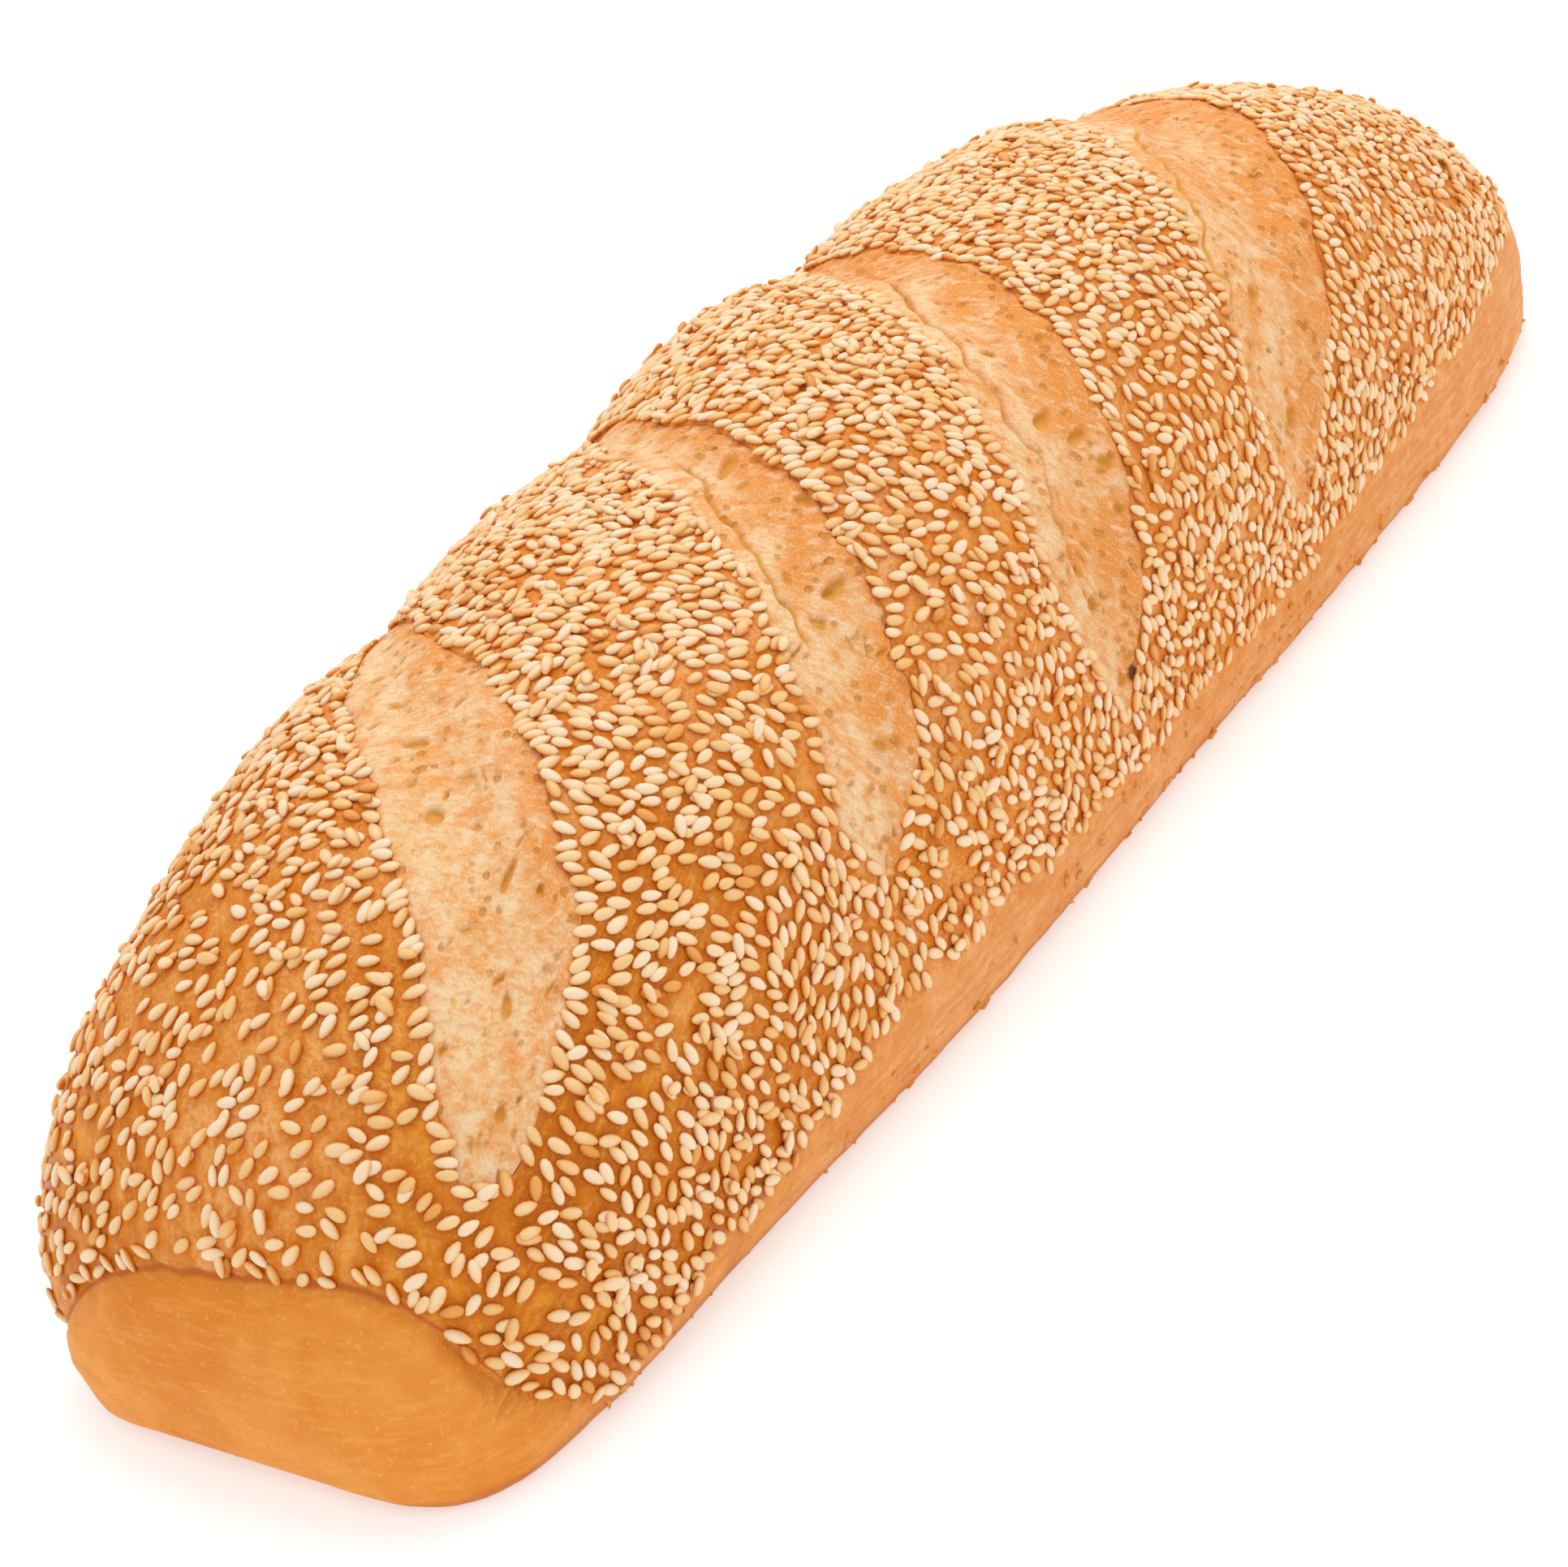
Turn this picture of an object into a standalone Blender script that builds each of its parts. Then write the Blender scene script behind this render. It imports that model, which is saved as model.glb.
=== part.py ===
"""A sesame french bread: one long scored loaf with sesame seeds baked onto its crust.

The loaf lies along X with its blunt near end at -X, its flat base on z = 0 and the crown up.
Four slanting slashes have opened over the crown and the -Y flank, and the crust between them has
risen into bands. The near end below its crease and the foot of both flanks are bare of seeds.

A place on the crust is named by x along the loaf and by its turn round the section: 0 at the top
of the crown, -1 and +1 at the widest line on the -Y and +Y flank, and -2 and +2 at the middle of
the underside. All sizes are in metres.
"""
import bisect
import collections
import itertools
import math
import random

import bmesh
import bpy
from mathutils import Matrix, Vector
from mathutils.bvhtree import BVHTree

# The loaf
LENGTH = 0.3695
HALF_WIDTH = 0.0518
HEIGHT = 0.0827
WIDEST = 0.274           # height of the widest line, as a share of the local height
BASE_TUCK = 0.083        # how far the foot draws in under the widest line, as a share
NEAR_PLAN = 5.5          # exponents of the outline seen from above: larger is squarer
FAR_PLAN = 5.1
NEAR_DOME = 2.52         # exponents of the crown's line along the loaf
FAR_DOME = 2.48
CROWN = 2.34             # exponent of the section above the widest line
FOOT = 2.2               # exponent of the section below it
TIP_HEIGHT = 0.0039      # height of both tips above the base
END_ROUND = 0.0113       # the base rises to the tip over this length
WAIST_DEPTH = 0.0024     # the -Y flank draws in a little behind the near end
WAIST_PLACE = -0.120
WAIST_LENGTH = 0.032

# The slashes: middle of each on the crown, travel along x for one turn, the turn past which that
# travel eases off, and half-width along x. Then the turns at which it ends on the -Y flank, is
# widest and ends on the +Y side, and how blunt it is towards the first and towards the last
Slash = collections.namedtuple("Slash", "middle travel ease wide low widest high blunt_low blunt_high")
SLASHES = (
    Slash(-0.1109, 0.0692, 1.27, 0.0169, -0.66, -0.46, 0.46, 2.3, 2.0),
    Slash(-0.0454, 0.0410, 1.57, 0.0108, -0.91, -0.71, 0.42, 1.7, 2.2),
    Slash(0.0165, 0.0400, 0.87, 0.0145, -1.02, -0.55, 0.36, 3.4, 1.6),
    Slash(0.1010, 0.0567, 1.03, 0.0198, -1.01, -0.20, 0.42, 4.7, 1.3),
)
SLASH_DEPTH = 0.0030
SLASH_EDGE = 0.16        # the wall at a slash's rim, as a share of its half-width
FOLD_PLACE = -0.30       # the crease inside a slash, as a share of its half-width
FOLD_WIDTH = 0.0022
FOLD_DEPTH = 0.0013
SLASH_FLOOR = 0.62       # depth of a slash next to its wall, as a share of its greatest depth
SLASH_FULL = 0.5         # a slash has its full depth from this share of its greatest width
SLASH_LEAST = 0.0005     # and ends where its half-width falls below this
EASE_POWER = 6           # exponent with which its travel eases off
BAND_SWELLS = (0.0038, 0.0023, 0.0051, 0.0041, 0.0033)   # how far each band of crust rises
BAND_DIP = 0.0014        # how far the crust dips along the middle of a slash
BAND_REACH = 0.030       # how far along x from a slash a band takes to rise
BAND_FADE = 4            # exponent with which the swell dies out towards the tips

# The crease over the bare near end
CREASE_HEIGHT = 0.0315
CREASE_MIDDLE = -0.012
CREASE_SPAN_LOW_Y = 0.0335        # from its top the crease falls steeply towards -Y
CREASE_ARCH_LOW_Y = 5.0
CREASE_SPAN_HIGH_Y = 0.056        # and slowly towards +Y
CREASE_ARCH_HIGH_Y = 3.0
CREASE_DEPTH = 0.0012
CREASE_WIDTH = 0.0028
NEAR_END_DEPTH = 0.028   # the near end is what lies this close to the tip
NEAR_END_FADE = 1.6      # how steeply the crease fades along the flanks
RELIEF_END = 1.45        # relief stops at this turn, low on the foot

# Sesame
SEED_LENGTH = 0.0034
SEED_WIDTH = 0.0019
SEED_THICKNESS = 0.0013
SEED_SUNK = 0.0003
SEED_COUNT = 150
SEED_SPACING = 0.0130
SEED_FLOOR_PLACES = (-0.165, -0.143, -0.108, -0.080, -0.010, 0.057, 0.180)
SEED_FLOOR_HEIGHTS = (0.007, 0.008, 0.014, 0.018, 0.014, 0.017, 0.030)   # seeds end so high above the base
SEED_TAPER = 0.5         # how much narrower a seed's pointed end is
SEED_SMALLEST = 0.92     # sizes of single seeds, as shares of the usual one
SEED_LARGEST = 1.12
SEED_LOWEST_TURN = 1.2   # seeds are sought up to this turn on both flanks
DRAW = random.Random(11)

# Fineness of the mesh
RINGS = 66
CROWN_STEPS = 28
FOOT_STEPS = 2
OUTLINE_SAMPLES = 600
SLASH_CROWDING = 1.6     # how much closer the rings stand across a slash
CREASE_ANGLE = math.radians(50)   # edges sharper than this are shaded as edges
CLEAR_OF_ROUNDING = 0.25          # share of a step, as the sphere's first point is half a step on
PROBE = 0.0005           # step along x for the outward direction
PROBE_TURN = 0.01        # and its step in turn

HALF_LENGTH = LENGTH / 2


# --- the plain loaf -------------------------------------------------------------------------

def falloff(x, near, far):
    """Superellipse falloff of a size from 1 at mid length to 0 at either tip."""
    share = max(-1.0, min(1.0, x / HALF_LENGTH))
    power = near if share < 0 else far
    return (1.0 - abs(share) ** power) ** (1.0 / power)


def half_width(x):
    return HALF_WIDTH * falloff(x, NEAR_PLAN, FAR_PLAN)


def height(x):
    return TIP_HEIGHT + (HEIGHT - TIP_HEIGHT) * falloff(x, NEAR_DOME, FAR_DOME)


def underside(x):
    """Height of the underside: flat on the base, and rounded up to the tip at either end."""
    room = min(1.0, (HALF_LENGTH - abs(x)) / END_ROUND)
    return TIP_HEIGHT * (1.0 - math.sqrt(1.0 - (1.0 - room) ** 2))


def waist(x, turn):
    """How far the -Y flank draws in at x."""
    return WAIST_DEPTH * math.exp(-((x - WAIST_PLACE) / WAIST_LENGTH) ** 2) * min(1.0, max(0.0, -turn))


def plain_point(x, turn):
    """The point of the unslashed loaf at x and turn."""
    wide, tall, low = half_width(x), height(x), underside(x)
    widest = low + WIDEST * (tall - low)
    side, reach = math.copysign(1.0, turn), min(abs(turn), 2.0)
    if reach <= 1.0:
        angle = reach * math.pi / 2
        y = wide * math.sin(angle) ** (2 / CROWN)
        z = widest + (tall - widest) * max(math.cos(angle), 0.0) ** (2 / CROWN)
        return Vector((x, side * y + waist(x, turn), z))
    tucked = wide * (1.0 - BASE_TUCK)
    drop = min((reach - 1.0) * 2, 1.0)
    if drop < 1.0:
        angle = drop * math.pi / 2
        y = tucked + wide * BASE_TUCK * math.cos(angle) ** (2 / FOOT)
        z = low + (widest - low) * (1.0 - math.sin(angle) ** (2 / FOOT))
        return Vector((x, side * y + waist(x, turn), z))
    return Vector((x, side * tucked * (2.0 - reach) * 2 + waist(x, turn), low))


def outward(x, turn):
    """The outward direction of the plain loaf at x and turn."""
    end = HALF_LENGTH - 2 * PROBE
    inner = max(-end, min(end, x))
    along = plain_point(inner + PROBE, turn) - plain_point(inner - PROBE, turn)
    across = plain_point(inner, turn + PROBE_TURN) - plain_point(inner, turn - PROBE_TURN)
    return along.cross(across).normalized()


# --- slashes, bands and the crease ------------------------------------------------------------

def slash_travel(slash, turn):
    """How far a slash has travelled along x at a turn: straight, then easing off past its tip."""
    return slash.travel * turn / (1.0 + abs(turn / slash.ease) ** EASE_POWER) ** (1 / EASE_POWER)


def slash_half_width(slash, turn):
    """A slash is a pointed lens, widest on the -Y flank."""
    if turn < slash.widest:
        share = ((slash.widest - turn) / (slash.widest - slash.low)) ** slash.blunt_low
    else:
        share = ((turn - slash.widest) / (slash.high - slash.widest)) ** slash.blunt_high
    return slash.wide * max(0.0, 1.0 - share)


def across_slash(slash, x, turn):
    """Place across a slash: -1 and +1 at its rims, far beyond them where it has ended."""
    wide = slash_half_width(slash, turn)
    away = x - slash.middle - slash_travel(slash, turn)
    return away / wide if wide > SLASH_LEAST else math.copysign(99.0, away)


def slash_relief(slash, x, turn):
    """Height over the plain loaf that one slash gives: its open hollow with a fold inside."""
    place = across_slash(slash, x, turn)
    wide = slash_half_width(slash, turn)
    if abs(place) >= 1.0:
        return 0.0
    strength = min(1.0, wide / (SLASH_FULL * slash.wide))
    wall = min(1.0, (1.0 - abs(place)) / SLASH_EDGE)
    fold = math.exp(-(((place - FOLD_PLACE) * wide) / FOLD_WIDTH) ** 2)
    hollow = SLASH_FLOOR + (1.0 - SLASH_FLOOR) * (1.0 - place ** 2)
    return -strength * (SLASH_DEPTH * wall * hollow + FOLD_DEPTH * fold)


def band_relief(x, turn):
    """The crust swells between slashes, on the crown and the flanks alike."""
    if abs(turn) > 1.0:
        return 0.0
    away = [x - s.middle - slash_travel(s, turn) for s in SLASHES]
    swell = BAND_SWELLS[sum(distance > 0 for distance in away)]
    rise = min(1.0, min(abs(distance) for distance in away) / BAND_REACH)
    fade = math.sqrt(max(0.0, math.cos(turn * math.pi / 2))) * falloff(x, BAND_FADE, BAND_FADE)
    return fade * (swell * math.sin(rise * math.pi / 2) - BAND_DIP)


def crease_height(y):
    away = y - CREASE_MIDDLE
    if away < 0:
        return CREASE_HEIGHT * (1.0 - (-away / CREASE_SPAN_LOW_Y) ** CREASE_ARCH_LOW_Y)
    return CREASE_HEIGHT * (1.0 - (away / CREASE_SPAN_HIGH_Y) ** CREASE_ARCH_HIGH_Y)


def near_end(x):
    """1 on the near end, fading to 0 along the flanks."""
    return max(0.0, min(1.0, NEAR_END_FADE * (1.0 - (x + HALF_LENGTH) / NEAR_END_DEPTH)))


def crease_relief(point):
    away = (point.z - crease_height(point.y)) / CREASE_WIDTH
    return -CREASE_DEPTH * near_end(point.x) * math.exp(-away ** 2)


def crust_point(x, turn):
    """The point of the finished crust at x and turn."""
    point = plain_point(x, turn)
    if abs(turn) > RELIEF_END:
        return point
    relief = band_relief(x, turn) + sum(slash_relief(s, x, turn) for s in SLASHES)
    relief += crease_relief(point)
    return point + outward(x, turn) * relief


# --- the mesh of the loaf ---------------------------------------------------------------------

def ring_places(count):
    """Places of the rings along x: even along the outline, and closer across the slashes."""
    angles = [math.pi * i / OUTLINE_SAMPLES for i in range(OUTLINE_SAMPLES + 1)]
    outline = []
    for angle in angles:
        c, s = math.cos(angle), math.sin(angle)
        plan = NEAR_PLAN if c > 0 else FAR_PLAN
        size = (abs(c) ** plan + s ** plan) ** (-1 / plan)
        outline.append((-HALF_LENGTH * c * size, HALF_WIDTH * s * size))
    lengths = [0.0]
    for (xa, ya), (xb, yb) in itertools.pairwise(outline):
        middle = (xa + xb) / 2
        crowd = 1.0 + SLASH_CROWDING * sum(
            math.exp(-((middle - s.middle) / s.wide) ** 4) for s in SLASHES)
        lengths.append(lengths[-1] + math.hypot(xb - xa, yb - ya) * crowd)
    places = []
    for i in range(1, count + 1):
        goal = lengths[-1] * i / (count + 1)
        k = bisect.bisect_left(lengths, goal)
        share = (goal - lengths[k - 1]) / (lengths[k] - lengths[k - 1])
        places.append(outline[k - 1][0] + share * (outline[k][0] - outline[k - 1][0]))
    return places


def slanted(x, turn):
    """Slant a ring at x so that the rings run along the slashes and upright at the tips."""
    capped = max(-1.0, min(1.0, turn))
    nodes = [(-HALF_LENGTH, 0.0)] + [(s.middle, slash_travel(s, capped)) for s in SLASHES]
    nodes.append((HALF_LENGTH, 0.0))
    for (xa, ta), (xb, tb) in itertools.pairwise(nodes):
        if x <= xb:
            travel = ta + (tb - ta) * (x - xa) / (xb - xa)
            break
    fade = min(1.0, (2.0 - abs(turn)) * 2)
    return x + travel * fade


def turn_steps():
    """The turns of the section's points, from the middle of the underside right round."""
    foot = [-1.5 + 0.5 * i / FOOT_STEPS for i in range(FOOT_STEPS)]
    crown = [-1.0 + 2.0 * i / CROWN_STEPS for i in range(CROWN_STEPS + 1)]
    return [-2.0] + foot + crown + [-t for t in reversed(foot)]


def make_loaf():
    """Shape a sphere, whose rings and meridians become the loaf's rings and turns."""
    turns = turn_steps()
    rings = ring_places(RINGS)
    mesh = bpy.data.meshes.new("loaf")
    shape = bmesh.new()
    bmesh.ops.create_uvsphere(shape, u_segments=len(turns), v_segments=RINGS + 1, radius=1.0)
    for vertex in shape.verts:
        pole_angle = math.acos(max(-1.0, min(1.0, -vertex.co.z)))
        ring = round(pole_angle / math.pi * (RINGS + 1)) - 1
        if ring < 0 or ring >= RINGS:
            x = math.copysign(HALF_LENGTH, vertex.co.z)
            vertex.co = (x, 0.0, TIP_HEIGHT)
            continue
        round_share = math.atan2(vertex.co.y, vertex.co.x) / math.tau
        turn = turns[math.floor(round_share * len(turns) + CLEAR_OF_ROUNDING) % len(turns)]
        vertex.co = crust_point(slanted(rings[ring], turn), turn)
    if shape.calc_volume(signed=True) < 0:
        bmesh.ops.reverse_faces(shape, faces=shape.faces)
    bmesh.ops.triangulate(shape, faces=shape.faces)
    shape.to_mesh(mesh)
    shape.free()
    return mesh


# --- sesame -----------------------------------------------------------------------------------

def turn_of(point):
    """The turn round the section at which a point of the crown or flank lies."""
    wide, tall, low = half_width(point.x), height(point.x), underside(point.x)
    widest = low + WIDEST * (tall - low)
    if point.z <= widest:
        return math.copysign(1.0, point.y)
    up = min(1.0, (point.z - widest) / (tall - widest)) ** (CROWN / 2)
    out = min(1.0, abs(point.y) / wide) ** (CROWN / 2)
    return math.copysign(math.atan2(out, up) / (math.pi / 2), point.y)


def seed_floor(x):
    """Height above the base at which the seeds end, along the loaf."""
    k = bisect.bisect_left(SEED_FLOOR_PLACES, x)
    if k == 0 or k == len(SEED_FLOOR_PLACES):
        return SEED_FLOOR_HEIGHTS[max(k - 1, 0)]
    (xa, xb), (za, zb) = SEED_FLOOR_PLACES[k - 1:k + 1], SEED_FLOOR_HEIGHTS[k - 1:k + 1]
    return za + (zb - za) * (x - xa) / (xb - xa)


def seeded(point):
    """Whether sesame lies at a point of the crust."""
    if point.z < seed_floor(point.x):
        return False
    if near_end(point.x) > 0 and point.z < crease_height(point.y) + SEED_LENGTH:
        return False
    clear = 1.0 + SEED_LENGTH / SLASHES[0].wide
    turn = turn_of(point)
    return all(abs(across_slash(s, point.x, turn)) > clear for s in SLASHES)


def seed_places(mesh):
    """Spread the seeds over the crust, none nearer another than SEED_SPACING."""
    faces = [tuple(face.vertices) for face in mesh.polygons]
    crust = BVHTree.FromPolygons([vertex.co for vertex in mesh.vertices], faces)
    chosen = []
    while len(chosen) < SEED_COUNT:
        x, turn = DRAW.uniform(-HALF_LENGTH, HALF_LENGTH), DRAW.uniform(-SEED_LOWEST_TURN, SEED_LOWEST_TURN)
        point, normal, face, distance = crust.find_nearest(crust_point(x, turn))
        near = any((point - other).length < SEED_SPACING for other, facing in chosen)
        if not near and seeded(point):
            chosen.append((point, normal))
    return chosen


def make_seed(name, point, normal, material):
    """One flat teardrop of sesame lying on the crust, turned at random."""
    size = DRAW.uniform(SEED_SMALLEST, SEED_LARGEST)
    mesh = bpy.data.meshes.new(name)
    shape = bmesh.new()
    bmesh.ops.create_uvsphere(shape, u_segments=5, v_segments=4, radius=0.5)
    for vertex in shape.verts:
        taper = 1.0 - SEED_TAPER * vertex.co.z
        vertex.co = Vector((vertex.co.z * SEED_LENGTH, vertex.co.x * SEED_WIDTH * taper,
                            vertex.co.y * SEED_THICKNESS * taper)) * size
    shape.to_mesh(mesh)
    shape.free()
    mesh.materials.append(material)
    seed = bpy.data.objects.new(name, mesh)
    lying = normal.to_track_quat("Z", "X").to_matrix().to_4x4()
    centre = point + normal * (SEED_THICKNESS / 2 - SEED_SUNK)
    seed.matrix_world = Matrix.Translation(centre) @ lying @ Matrix.Rotation(
        DRAW.uniform(0, math.tau), 4, "Z")
    return seed


# --- materials and assembly -------------------------------------------------------------------

def make_material(name, colour, roughness):
    material = bpy.data.materials.new(name)
    material.use_nodes = True
    surface = material.node_tree.nodes["Principled BSDF"]
    surface.inputs["Base Color"].default_value = (*colour, 1.0)
    surface.inputs["Roughness"].default_value = roughness
    surface.inputs["Metallic"].default_value = 0.0
    return material


def new_collection(name):
    collection = bpy.data.collections.new(name)
    bpy.context.scene.collection.children.link(collection)
    return collection


def fuse_seeds(loaf, sesame):
    """Join the seeds to the loaf with one union, then drop the loose ones."""
    union = loaf.modifiers.new("sesame", "BOOLEAN")
    union.operation = "UNION"
    union.operand_type = "COLLECTION"
    union.collection = sesame
    union.solver = "EXACT"
    graph = bpy.context.evaluated_depsgraph_get()
    fused = bpy.data.meshes.new_from_object(loaf.evaluated_get(graph))
    loaf.modifiers.remove(union)
    loaf.data = fused
    for seed in list(sesame.objects):
        bpy.data.objects.remove(seed, do_unlink=True)
    bpy.data.collections.remove(sesame)


def main():
    for leftover in list(bpy.data.objects):
        bpy.data.objects.remove(leftover, do_unlink=True)
    crust = make_material("baked_crust", (0.62, 0.31, 0.12), 0.55)
    seed_skin = make_material("sesame", (0.83, 0.67, 0.42), 0.45)

    bread = new_collection("sesame_french_bread")
    mesh = make_loaf()
    mesh.materials.append(crust)
    loaf = bpy.data.objects.new("loaf", mesh)
    bread.objects.link(loaf)

    sesame = new_collection("sesame_seeds")
    for number, (point, normal) in enumerate(seed_places(mesh)):
        sesame.objects.link(make_seed(f"seed_{number:03d}", point, normal, seed_skin))
    fuse_seeds(loaf, sesame)
    loaf.data.shade_smooth()
    loaf.data.set_sharp_from_angle(angle=CREASE_ANGLE)


main()
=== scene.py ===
# %% [markdown]
# # A sesame french bread
#
# The real loaf is one piece of baked dough. Its skin is a thin golden crust, its crown was scored four
# times before baking so that pale crumb tore open along the cuts, and hulled sesame was pressed on.
# The solid part gives its size and main form. Here the whole skin is made again, finer, in four
# families of pieces: the crust, the torn crumb in each slash, the flakes at the foot, and the seeds.

# %% The frame and the tools
import collections
import math
import random

import bmesh
import bpy
import numpy as np
from mathutils import Matrix, Vector, kdtree


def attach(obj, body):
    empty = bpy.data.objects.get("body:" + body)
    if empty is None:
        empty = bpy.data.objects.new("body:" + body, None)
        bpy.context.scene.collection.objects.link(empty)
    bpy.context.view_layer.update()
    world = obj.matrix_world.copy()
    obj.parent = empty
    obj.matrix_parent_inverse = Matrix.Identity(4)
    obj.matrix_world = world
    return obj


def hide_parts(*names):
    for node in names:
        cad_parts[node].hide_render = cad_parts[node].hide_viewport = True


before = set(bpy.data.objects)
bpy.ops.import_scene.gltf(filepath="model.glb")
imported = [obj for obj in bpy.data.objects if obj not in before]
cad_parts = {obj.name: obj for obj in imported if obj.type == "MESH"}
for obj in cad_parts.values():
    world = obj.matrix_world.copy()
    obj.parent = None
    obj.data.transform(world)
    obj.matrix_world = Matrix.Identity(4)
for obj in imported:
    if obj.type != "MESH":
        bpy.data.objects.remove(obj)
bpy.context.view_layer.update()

# %% [markdown]
# ## The camera
#
# A loaf on a table is seen from above its near end. The lens and the place come from the outline:
# the near end looks almost twice as wide as the far end, so the camera stands close. A camera can be
# aimed with a Track To constraint, but its roll is wanted too, so its three axes are built by hand.

# %% Camera
AIM = Vector((-0.0502, -0.0075, 0.0250))
DISTANCE = 0.4726
BEARING = math.radians(-48.14)
RISE = math.radians(28.38)
ROLL = math.radians(-16.9)
LENS_MM, SENSOR_MM = 68.35, 36.0

backward = Vector((math.sin(BEARING) * math.cos(RISE), -math.cos(BEARING) * math.cos(RISE), math.sin(RISE)))
level = Vector((math.cos(BEARING), math.sin(BEARING), 0.0))
upright = backward.cross(level)
right = math.cos(ROLL) * level + math.sin(ROLL) * upright
upward = math.cos(ROLL) * upright - math.sin(ROLL) * level
turned = Matrix((right, upward, backward)).transposed().to_4x4()

view = bpy.data.cameras.new("view")
view.lens, view.sensor_width = LENS_MM, SENSOR_MM
view.clip_start = 0.01
camera = bpy.data.objects.new("camera", view)
camera.matrix_world = Matrix.Translation(AIM + DISTANCE * backward) @ turned
bpy.context.collection.objects.link(camera)
bpy.context.scene.camera = camera
print("camera at", tuple(round(c, 3) for c in camera.matrix_world.translation))

# %% [markdown]
# ## The plain loaf
#
# Without its slashes the loaf is a rounded bar. From above it is a blunt superellipse, from the side
# a dome, and across it a shape like a D laid on its back, with its widest line low down and a narrow foot.
# A subdivided box could be pulled into that form, but a rule gives every point of the skin an address,
# and the slashes, the crumb and the seeds can then all be placed by it: x along the loaf, and the turn
# round the section. The turn is 0 on the crown, -1 and +1 at the widest line, 1.5 where the foot meets
# the underside, and 2 in the middle of the underside.

# %% Sizes of the plain loaf, in metres
HALF_LENGTH = 0.3695 / 2
HALF_WIDTH = 0.0518
HEIGHT = 0.0827
WIDEST = 0.274  # height of the widest line, as a share of the section's height
BASE_TUCK = 0.083  # how much narrower the foot is, as a share of the half-width
NEAR_PLAN, FAR_PLAN = 5.5, 5.1  # bluntness of the two tips, seen from above
NEAR_DOME, FAR_DOME = 2.52, 2.48  # and seen from the side
CROWN, FOOT = 2.34, 2.2  # bluntness of the section above and below its widest line
TIP_HEIGHT = 0.0039
END_ROUND = 0.0113
WAIST_DEPTH, WAIST_PLACE, WAIST_LENGTH = 0.0024, -0.120, 0.032


def falloff(x, near, far):
    """How a size falls from 1 at mid length to 0 at either tip."""
    power = np.where(x < 0, near, far)
    return (1.0 - np.clip(np.abs(x) / HALF_LENGTH, 0.0, 1.0) ** power) ** (1.0 / power)


def section(x):
    """Half-width, crown height, underside and height of the widest line at x."""
    wide = HALF_WIDTH * falloff(x, NEAR_PLAN, FAR_PLAN)
    tall = TIP_HEIGHT + (HEIGHT - TIP_HEIGHT) * falloff(x, NEAR_DOME, FAR_DOME)
    room = np.clip((HALF_LENGTH - np.abs(x)) / END_ROUND, 0.0, 1.0)
    low = TIP_HEIGHT * (1.0 - np.sqrt(1.0 - (1.0 - room) ** 2))
    return wide, tall, low, low + WIDEST * (tall - low)


def plain_point(x, turn):
    """Points of the unslashed loaf for arrays of x and turn."""
    wide, tall, low, widest = section(x)
    reach = np.minimum(np.abs(turn), 2.0)
    side = np.where(turn < 0, -1.0, 1.0)
    up = np.minimum(reach, 1.0) * math.pi / 2
    down = np.clip((reach - 1.0) * 2, 0.0, 1.0) * math.pi / 2
    tucked = wide * (1.0 - BASE_TUCK)
    crown_y = wide * np.sin(up) ** (2 / CROWN)
    crown_z = widest + (tall - widest) * np.maximum(np.cos(up), 0.0) ** (2 / CROWN)
    foot_y = tucked + wide * BASE_TUCK * np.maximum(np.cos(down), 0.0) ** (2 / FOOT)
    foot_z = low + (widest - low) * (1.0 - np.sin(down) ** (2 / FOOT))
    under_y = tucked * (2.0 - reach) * 2
    y = np.where(reach <= 1.0, crown_y, np.where(reach < 1.5, foot_y, under_y))
    z = np.where(reach <= 1.0, crown_z, np.where(reach < 1.5, foot_z, low))
    waist = WAIST_DEPTH * np.exp(-((x - WAIST_PLACE) / WAIST_LENGTH) ** 2) * np.clip(-turn, 0.0, 1.0)
    return np.stack([x, side * y + waist, z], axis=-1)


def unit(vectors):
    return vectors / np.maximum(np.linalg.norm(vectors, axis=-1, keepdims=True), 1e-12)


def outward(x, turn):
    """Outward directions of the plain loaf, from small steps along x and round the section."""
    step, swing = 0.0005, 0.01
    x = np.clip(x, -HALF_LENGTH + 2 * step, HALF_LENGTH - 2 * step)
    along = plain_point(x + step, turn) - plain_point(x - step, turn)
    across = plain_point(x, turn + swing) - plain_point(x, turn - swing)
    return unit(np.cross(along, across))


print("crown height at the middle:", round(float(plain_point(np.array(0.0), np.array(0.0))[2]), 4))

# %% [markdown]
# ## Roughness without an image
#
# Dough is never smooth: it has waves of centimetres and grain of tenths of a millimetre. Both come
# from the same small function. It puts a random height on every corner of a lattice and blends between
# the corners, and finer and fainter layers of it are added up. It always gives the same loaf.

# %% Noise for shapes
CORNER_KEYS = (73856093, 19349663, 83492791)  # large primes, so that every corner gets a height of its own
SEED_KEY, STIR_KEY = 961748927, 1274126177
Rough = collections.namedtuple("Rough", "height size seed layers", defaults=(2,))


def lattice_noise(points, seed):
    """Smooth noise from -1 to 1 at points given in lattice cells."""
    cell = np.floor(points).astype(np.int64)
    share = points - cell
    blend = share * share * (3.0 - 2.0 * share)
    total = np.zeros(points.shape[:-1])
    for corner in np.ndindex(2, 2, 2):
        mixed = np.bitwise_xor.reduce((cell + np.array(corner)) * np.array(CORNER_KEYS), axis=-1)
        mixed = mixed ^ (seed * SEED_KEY)
        mixed = ((mixed ^ (mixed >> 13)) * STIR_KEY) & 0xFFFFFFFF
        height = ((mixed ^ (mixed >> 16)) & 0xFFFF) / 32767.5 - 1.0
        total += height * np.prod(np.where(corner, blend, 1.0 - blend), axis=-1)
    return total


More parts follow.
